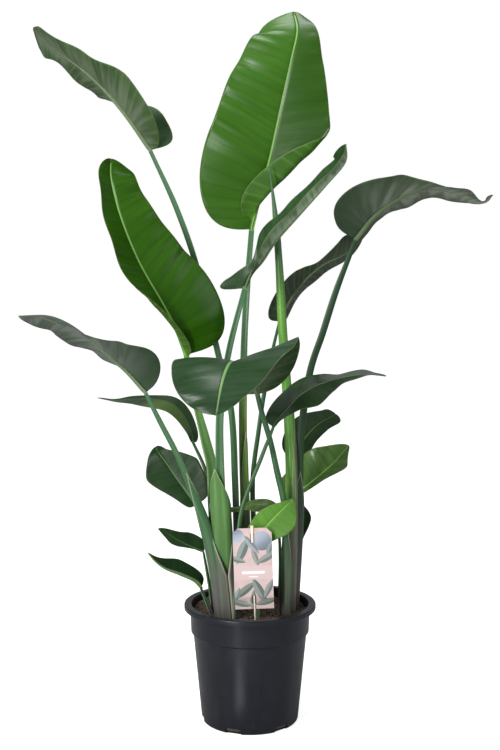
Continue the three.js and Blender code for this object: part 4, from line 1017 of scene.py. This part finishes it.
def cut(piece, cutter):
    """Takes the cutter away from the piece."""
    change = piece.modifiers.new("cut", "BOOLEAN")
    change.operation = "DIFFERENCE"
    change.solver = "EXACT"
    change.object = cutter
    done = bpy.data.meshes.new_from_object(piece.evaluated_get(bpy.context.evaluated_depsgraph_get()))
    piece.modifiers.clear()
    old = piece.data
    piece.data = done
    bpy.data.meshes.remove(old)
    bpy.data.objects.remove(cutter)


def pot_profile():
    """The pot's section, from the middle of its foot up outside and down inside."""
    base_round = 5
    step_top = COLLAR_BOTTOM - STEP_HEIGHT
    lip_foot = POT_HEIGHT - LIP_THICK - 1
    under_lip = POT_HEIGHT - LIP_HEIGHT
    lip_in = RIM_RADIUS - LIP_THICK
    inner = COLLAR_RADIUS - WALL
    return [
        (0, 0), (BASE_RADIUS - 16, 0), (BASE_RADIUS - 15, 1.2), (BASE_RADIUS - 8, 1.2),
        (BASE_RADIUS - 7, 0), *arc((BASE_RADIUS - base_round, base_round), base_round, -90, -2, 6),
        (BODY_TOP_RADIUS - 0.1, step_top - 1.2),
        *arc((BODY_TOP_RADIUS + 0.9, step_top - 0.9), 0.9, 178, 120, 3),
        *arc((COLLAR_FOOT_RADIUS - 1.2, COLLAR_BOTTOM + 0.6), 1.3, -50, 0, 4),
        (COLLAR_RADIUS - 0.1, lip_foot),
        *arc((COLLAR_RADIUS + 0.9, lip_foot), 1, 180, 90, 3), *arc((lip_in - 1, lip_foot), 1, 90, 0, 3),
        (lip_in, under_lip), (RIM_RADIUS - 0.5, under_lip),
        *arc((RIM_RADIUS - 0.7, under_lip + 0.7), 0.7, -60, 0, 3),
        *arc((RIM_RADIUS - 2.2, POT_HEIGHT - 2.2), 2.2, 0, 90, 7),
        *arc((inner + 2, POT_HEIGHT - 2), 2, 90, 180, 6),
        (COLLAR_FOOT_RADIUS - WALL, COLLAR_BOTTOM), (BODY_TOP_RADIUS - WALL, step_top),
        (BASE_RADIUS - WALL, FLOOR), (0, FLOOR)]


def notch_cutter(turn):
    """A round-edged box at the foot of the pot, turned round it by degrees."""
    bpy.ops.mesh.primitive_cube_add(size=1)
    cutter = bpy.context.object
    cutter.scale = (NOTCH_WIDTH * MM, NOTCH_DEPTH * MM, NOTCH_HEIGHT * 2 * MM)
    bpy.context.view_layer.update()
    bpy.ops.object.transform_apply(scale=True)
    bevel = cutter.modifiers.new("round", "BEVEL")
    bevel.width = NOTCH_ROUND * MM
    bevel.segments = 4
    out = Matrix.Translation((0, -BASE_RADIUS * MM, 0))
    cutter.matrix_world = Matrix.Rotation(math.radians(turn), 4, "Z") @ out
    return cutter


def make_pot():
    pot = add_object("pot_moulded", lathe_mesh("pot_moulded", pot_profile(), POT_SIDES))
    for i in range(NOTCH_COUNT):
        cut(pot, notch_cutter(NOTCH_TURN + 360 * i / NOTCH_COUNT))
    pot.data.shade_smooth()
    pot.data.set_sharp_from_angle(angle=math.radians(POT_SHARP))
    pot.data.materials.clear()
    pot.data.materials.append(pot_material())
    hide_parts("pot")
    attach(pot, "root")


def soil_top(x, y):
    """Height of the heaped soil with its lumps, in millimetres."""
    heaps = sum(high * math.exp(-((x - hx) ** 2 + (y - hy) ** 2) / wide**2)
                for hx, hy, wide, high in SOIL_HEAPS)
    at = Vector((x, y, 0))
    lumps = sum(high * noise.noise(at / long + Vector(shift)) for high, long, shift in SOIL_LUMPS)
    return SOIL_LEVEL + heaps + lumps


def spot_on_soil(rng, reach):
    """A random point of the soil's top within reach of the middle."""
    radius = reach * math.sqrt(rng.random())
    angle = rng.uniform(0, 2 * math.pi)
    x, y = radius * math.cos(angle), radius * math.sin(angle)
    return Vector((x, y, soil_top(x, y)))


def add_crumb(bm, centre, size, rng, slot, long=1.0):
    """A lump of a few facets, pulled out of round. centre and size are in millimetres."""
    made = bmesh.ops.create_icosphere(bm, subdivisions=1, radius=size * MM)
    angle = rng.uniform(0, 6.28)
    axis = Vector((rng.random(), rng.random(), rng.random() + 0.1)).normalized()
    sizes = (rng.uniform(0.7, 1.3) * long, rng.uniform(0.6, 1.1), rng.uniform(0.5, 0.9), 1)
    shape = Matrix.Rotation(angle, 4, axis) @ Matrix.Diagonal(sizes)
    for vertex in made["verts"]:
        vertex.co *= rng.uniform(0.75, 1.2)
        vertex.co = centre * MM + shape @ vertex.co
        for face in vertex.link_faces:
            face.material_index = slot


def soil_shape(top_radius):
    """Points and faces of the soil: the uneven top and the smooth plug below it."""
    rings = [(top_radius * (1 - i / SOIL_RINGS) + SOIL_MIDDLE, soil_top) for i in range(SOIL_RINGS + 1)]
    rings += [(BODY_TOP_RADIUS - WALL - SOIL_GAP, COLLAR_BOTTOM - STEP_HEIGHT),
              (BASE_RADIUS - WALL - SOIL_GAP, FLOOR + SOIL_GAP)]
    points = [point for radius, height in rings for point in ring(radius, height, SOIL_SIDES)]
    starts = range(0, len(points), SOIL_SIDES)
    pairs = [*zip(starts[:-2], starts[1:-2]), (starts[-2], 0), (starts[-1], starts[-2])]
    faces = [face for low, high in pairs for face in ring_faces(low, high, SOIL_SIDES)]
    middle, foot = (list(range(start, start + SOIL_SIDES)) for start in (starts[-3], starts[-1]))
    return points, [*faces, middle, foot[::-1]]


def make_soil():
    """The heaped top with its crumbs, and the plug below it."""
    rng = random.Random(11)
    top_radius = COLLAR_FOOT_RADIUS - WALL - SOIL_GAP + SOIL_SPREAD
    mesh = solid_mesh("soil_crumbly", *soil_shape(top_radius))
    bm = bmesh.new()
    bm.from_mesh(mesh)
    up = Vector((0, 0, 1))
    for _ in range(CRUMB_COUNT):
        spot = spot_on_soil(rng, top_radius - 4)
        size = rng.choice(CRUMB_SIZES)
        pale = rng.random() < PERLITE_SHARE
        add_crumb(bm, spot + up * 0.3 * size, size * (0.6 if pale else 1), rng, int(pale))
    for _ in range(FIBRE_COUNT):
        spot = spot_on_soil(rng, top_radius - 8)
        add_crumb(bm, spot + up * FIBRE_SIZE, FIBRE_SIZE, rng, 2, long=rng.uniform(5, 10))
    bm.to_mesh(mesh)
    bm.free()
    mesh.materials.append(soil_material())
    mesh.materials.append(plain_material("perlite", (0.42, 0.4, 0.36), (0.66, 0.63, 0.58), 0.9, 900))
    mesh.materials.append(plain_material("bark_fibre", (0.1, 0.055, 0.03), (0.2, 0.12, 0.07), 0.85, 600))
    piece = add_object("soil_crumbly", mesh)
    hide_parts("soil")
    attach(piece, "root")


def make_stick():
    """A flat stick with rounded edges and a pointed foot."""
    top = CARD_HEIGHT / 2 + STICK_ABOVE
    bottom = -CARD_HEIGHT / 2 - STICK_BELOW
    bm = bmesh.new()
    made = bmesh.ops.create_cube(bm, size=1)
    for vertex in made["verts"]:
        vertex.co.x *= STICK_WIDTH
        vertex.co.y *= STICK_THICK
        vertex.co.z = top if vertex.co.z > 0 else bottom
    bmesh.ops.bevel(bm, geom=list(bm.edges), offset=STICK_ROUND, segments=3, affect="EDGES", profile=0.5)
    for vertex in bm.verts:
        vertex.co.x *= min(1, (vertex.co.z - bottom) / STICK_POINT + 0.25)
    mesh = bpy.data.meshes.new("stick_wooden")
    bm.to_mesh(mesh)
    bm.free()
    place = Matrix.Translation([c * MM for c in CARD_MIDDLE])
    mesh.transform(place @ Matrix.Rotation(-math.radians(CARD_LEAN), 4, "Y") @ Matrix.Scale(MM, 4))
    mesh.shade_smooth()
    mesh.set_sharp_from_angle(angle=math.radians(EDGE_SHARP))
    mesh.materials.append(stick_material())
    piece = add_object("stick_wooden", mesh)
    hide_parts("stick")
    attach(piece, "root")


def make_spear():
    """The rolled leaf: a slim cone whose edge winds round it, and its sheath."""
    stalk = Line(SPEAR["stalk"])
    low = -STALK_DEPTH / stalk.length
    share = np.linspace(low, 1, int(stalk.length / SPEAR_STEP))
    above = np.clip(share, 0, 1)
    centre = stalk.at(share)
    forward = unit(np.gradient(centre, axis=0))
    right = unit(np.cross(forward, np.array([0.0, -1.0, 0.0])))
    up = np.cross(right, forward)
    angle = np.arange(SPEAR_SIDES + 1) / SPEAR_SIDES * 2 * np.pi
    spiral = 0.9 + SPEAR_LAP * angle / (2 * np.pi)
    place = angle[None] + (SPEAR_TURN * above)[:, None] + SPEAR_START
    size = along(SPEAR["thick"], above)[:, None] * spiral[None]
    points = placed(centre, right, up, np.cos(place) * size, np.sin(place) * size)
    faces = [face[::-1] for face in tube_faces(*size.shape)]
    marks = point_marks(
        size.shape, reach=((share - low) * stalk.length)[:, None], across=angle * 7,
        stalk=(0.02 + 0.9 * above)[:, None], lip=angle > 6.2)
    piece = mesh_object("leaf_spear_grown", points.reshape(-1, 3), faces, marks)
    piece.data.set_sharp_from_angle(angle=math.radians(EDGE_SHARP))
    look = LOOKS["leaf_spear"]
    piece.data.materials.append(leaf_material("leaf_spear", look, 5.0))
    body = {"stem": [(r, r) for r in SPEAR["thick"]]}
    shape = {**SHEATH_DEFAULTS, **SHEATHS["leaf_spear"]}
    sheath = mesh_object("spear_sheath", *sheath_mesh(body, stalk, shape))
    sheath.data.materials.append(leaf_material("spear_sheath", {**look, **SPEAR_SHEATH}, 6.0))
    for part in (piece, sheath):
        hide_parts("leaf_spear")
        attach(part, "root")


def area_light(name, place, aim, width, height, power):
    light = bpy.data.lights.new(name, "AREA")
    light.shape = "RECTANGLE"
    light.size, light.size_y = width, height
    light.energy = power
    lamp = add_object(name, light)
    lamp.location = place
    lamp.rotation_euler = (Vector(aim) - Vector(place)).to_track_quat("-Z", "Y").to_euler()
    return lamp


def make_world():
    """White behind the plant, and a dimmer even light from all round."""
    world = bpy.data.worlds.new("studio")
    world.use_nodes = True
    tree = world.node_tree
    backdrop = tree.nodes["Background"]
    backdrop.inputs["Color"].default_value = (1, 1, 1, 1)
    around = tree.nodes.new("ShaderNodeBackground")
    around.inputs["Color"].default_value = (0.94, 0.97, 1, 1)
    around.inputs["Strength"].default_value = AMBIENT
    path = tree.nodes.new("ShaderNodeLightPath")
    pick = tree.nodes.new("ShaderNodeMixShader")
    tree.links.new(path.outputs["Is Camera Ray"], pick.inputs[0])
    tree.links.new(around.outputs[0], pick.inputs[1])
    tree.links.new(backdrop.outputs[0], pick.inputs[2])
    tree.links.new(pick.outputs[0], tree.nodes["World Output"].inputs[0])
    bpy.context.scene.world = world


def make_stage():
    bpy.ops.mesh.primitive_plane_add(size=FLOOR_SIZE)
    floor = bpy.context.object
    floor.name = "floor"
    g = Graph("pale_floor", 0.8)
    seen = g.node("LightPath")
    g.shader["Emission Color"].default_value = (1, 1, 1, 1)
    g.put(g.shader["Emission Strength"], g.times(seen, FLOOR_GLOW))
    g.shader["Specular IOR Level"].default_value = 0.1
    pale = g.mix(g.noise(g.place(), 3, 2), (0.8, 0.8, 0.8), (0.82, 0.82, 0.82))
    g.put(g.shader["Base Color"], g.mix(seen, (FLOOR_DIMMED,) * 3, pale))
    floor.data.materials.append(g.material)
    make_world()
    bpy.context.scene.view_settings.view_transform = "Standard"
    for name, light in LIGHTS.items():
        area_light(name, *light)
    sheen = bpy.data.objects["sheen"]
    sheen.rotation_euler = (math.pi, 0, math.radians(SHEEN_TURN))
    sheen.visible_camera = False


def make_camera():
    camera = bpy.data.cameras.new("camera")
    camera.lens = CAMERA_LENS
    camera.sensor_width = CAMERA_SENSOR
    body = add_object("camera", camera)
    body.location = CAMERA_PLACE
    body.rotation_euler = (math.radians(90 - CAMERA_TILT), 0, 0)
    bpy.context.scene.camera = body


make_camera()
make_stage()
make_pot()
make_soil()
make_stick()
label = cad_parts["label"]
label.data.materials.clear()
label.data.materials.append(card_material())
for order, row in enumerate(LEAVES):
    make_leaf(row, 0.7 + 1.3 * order)
make_spear()
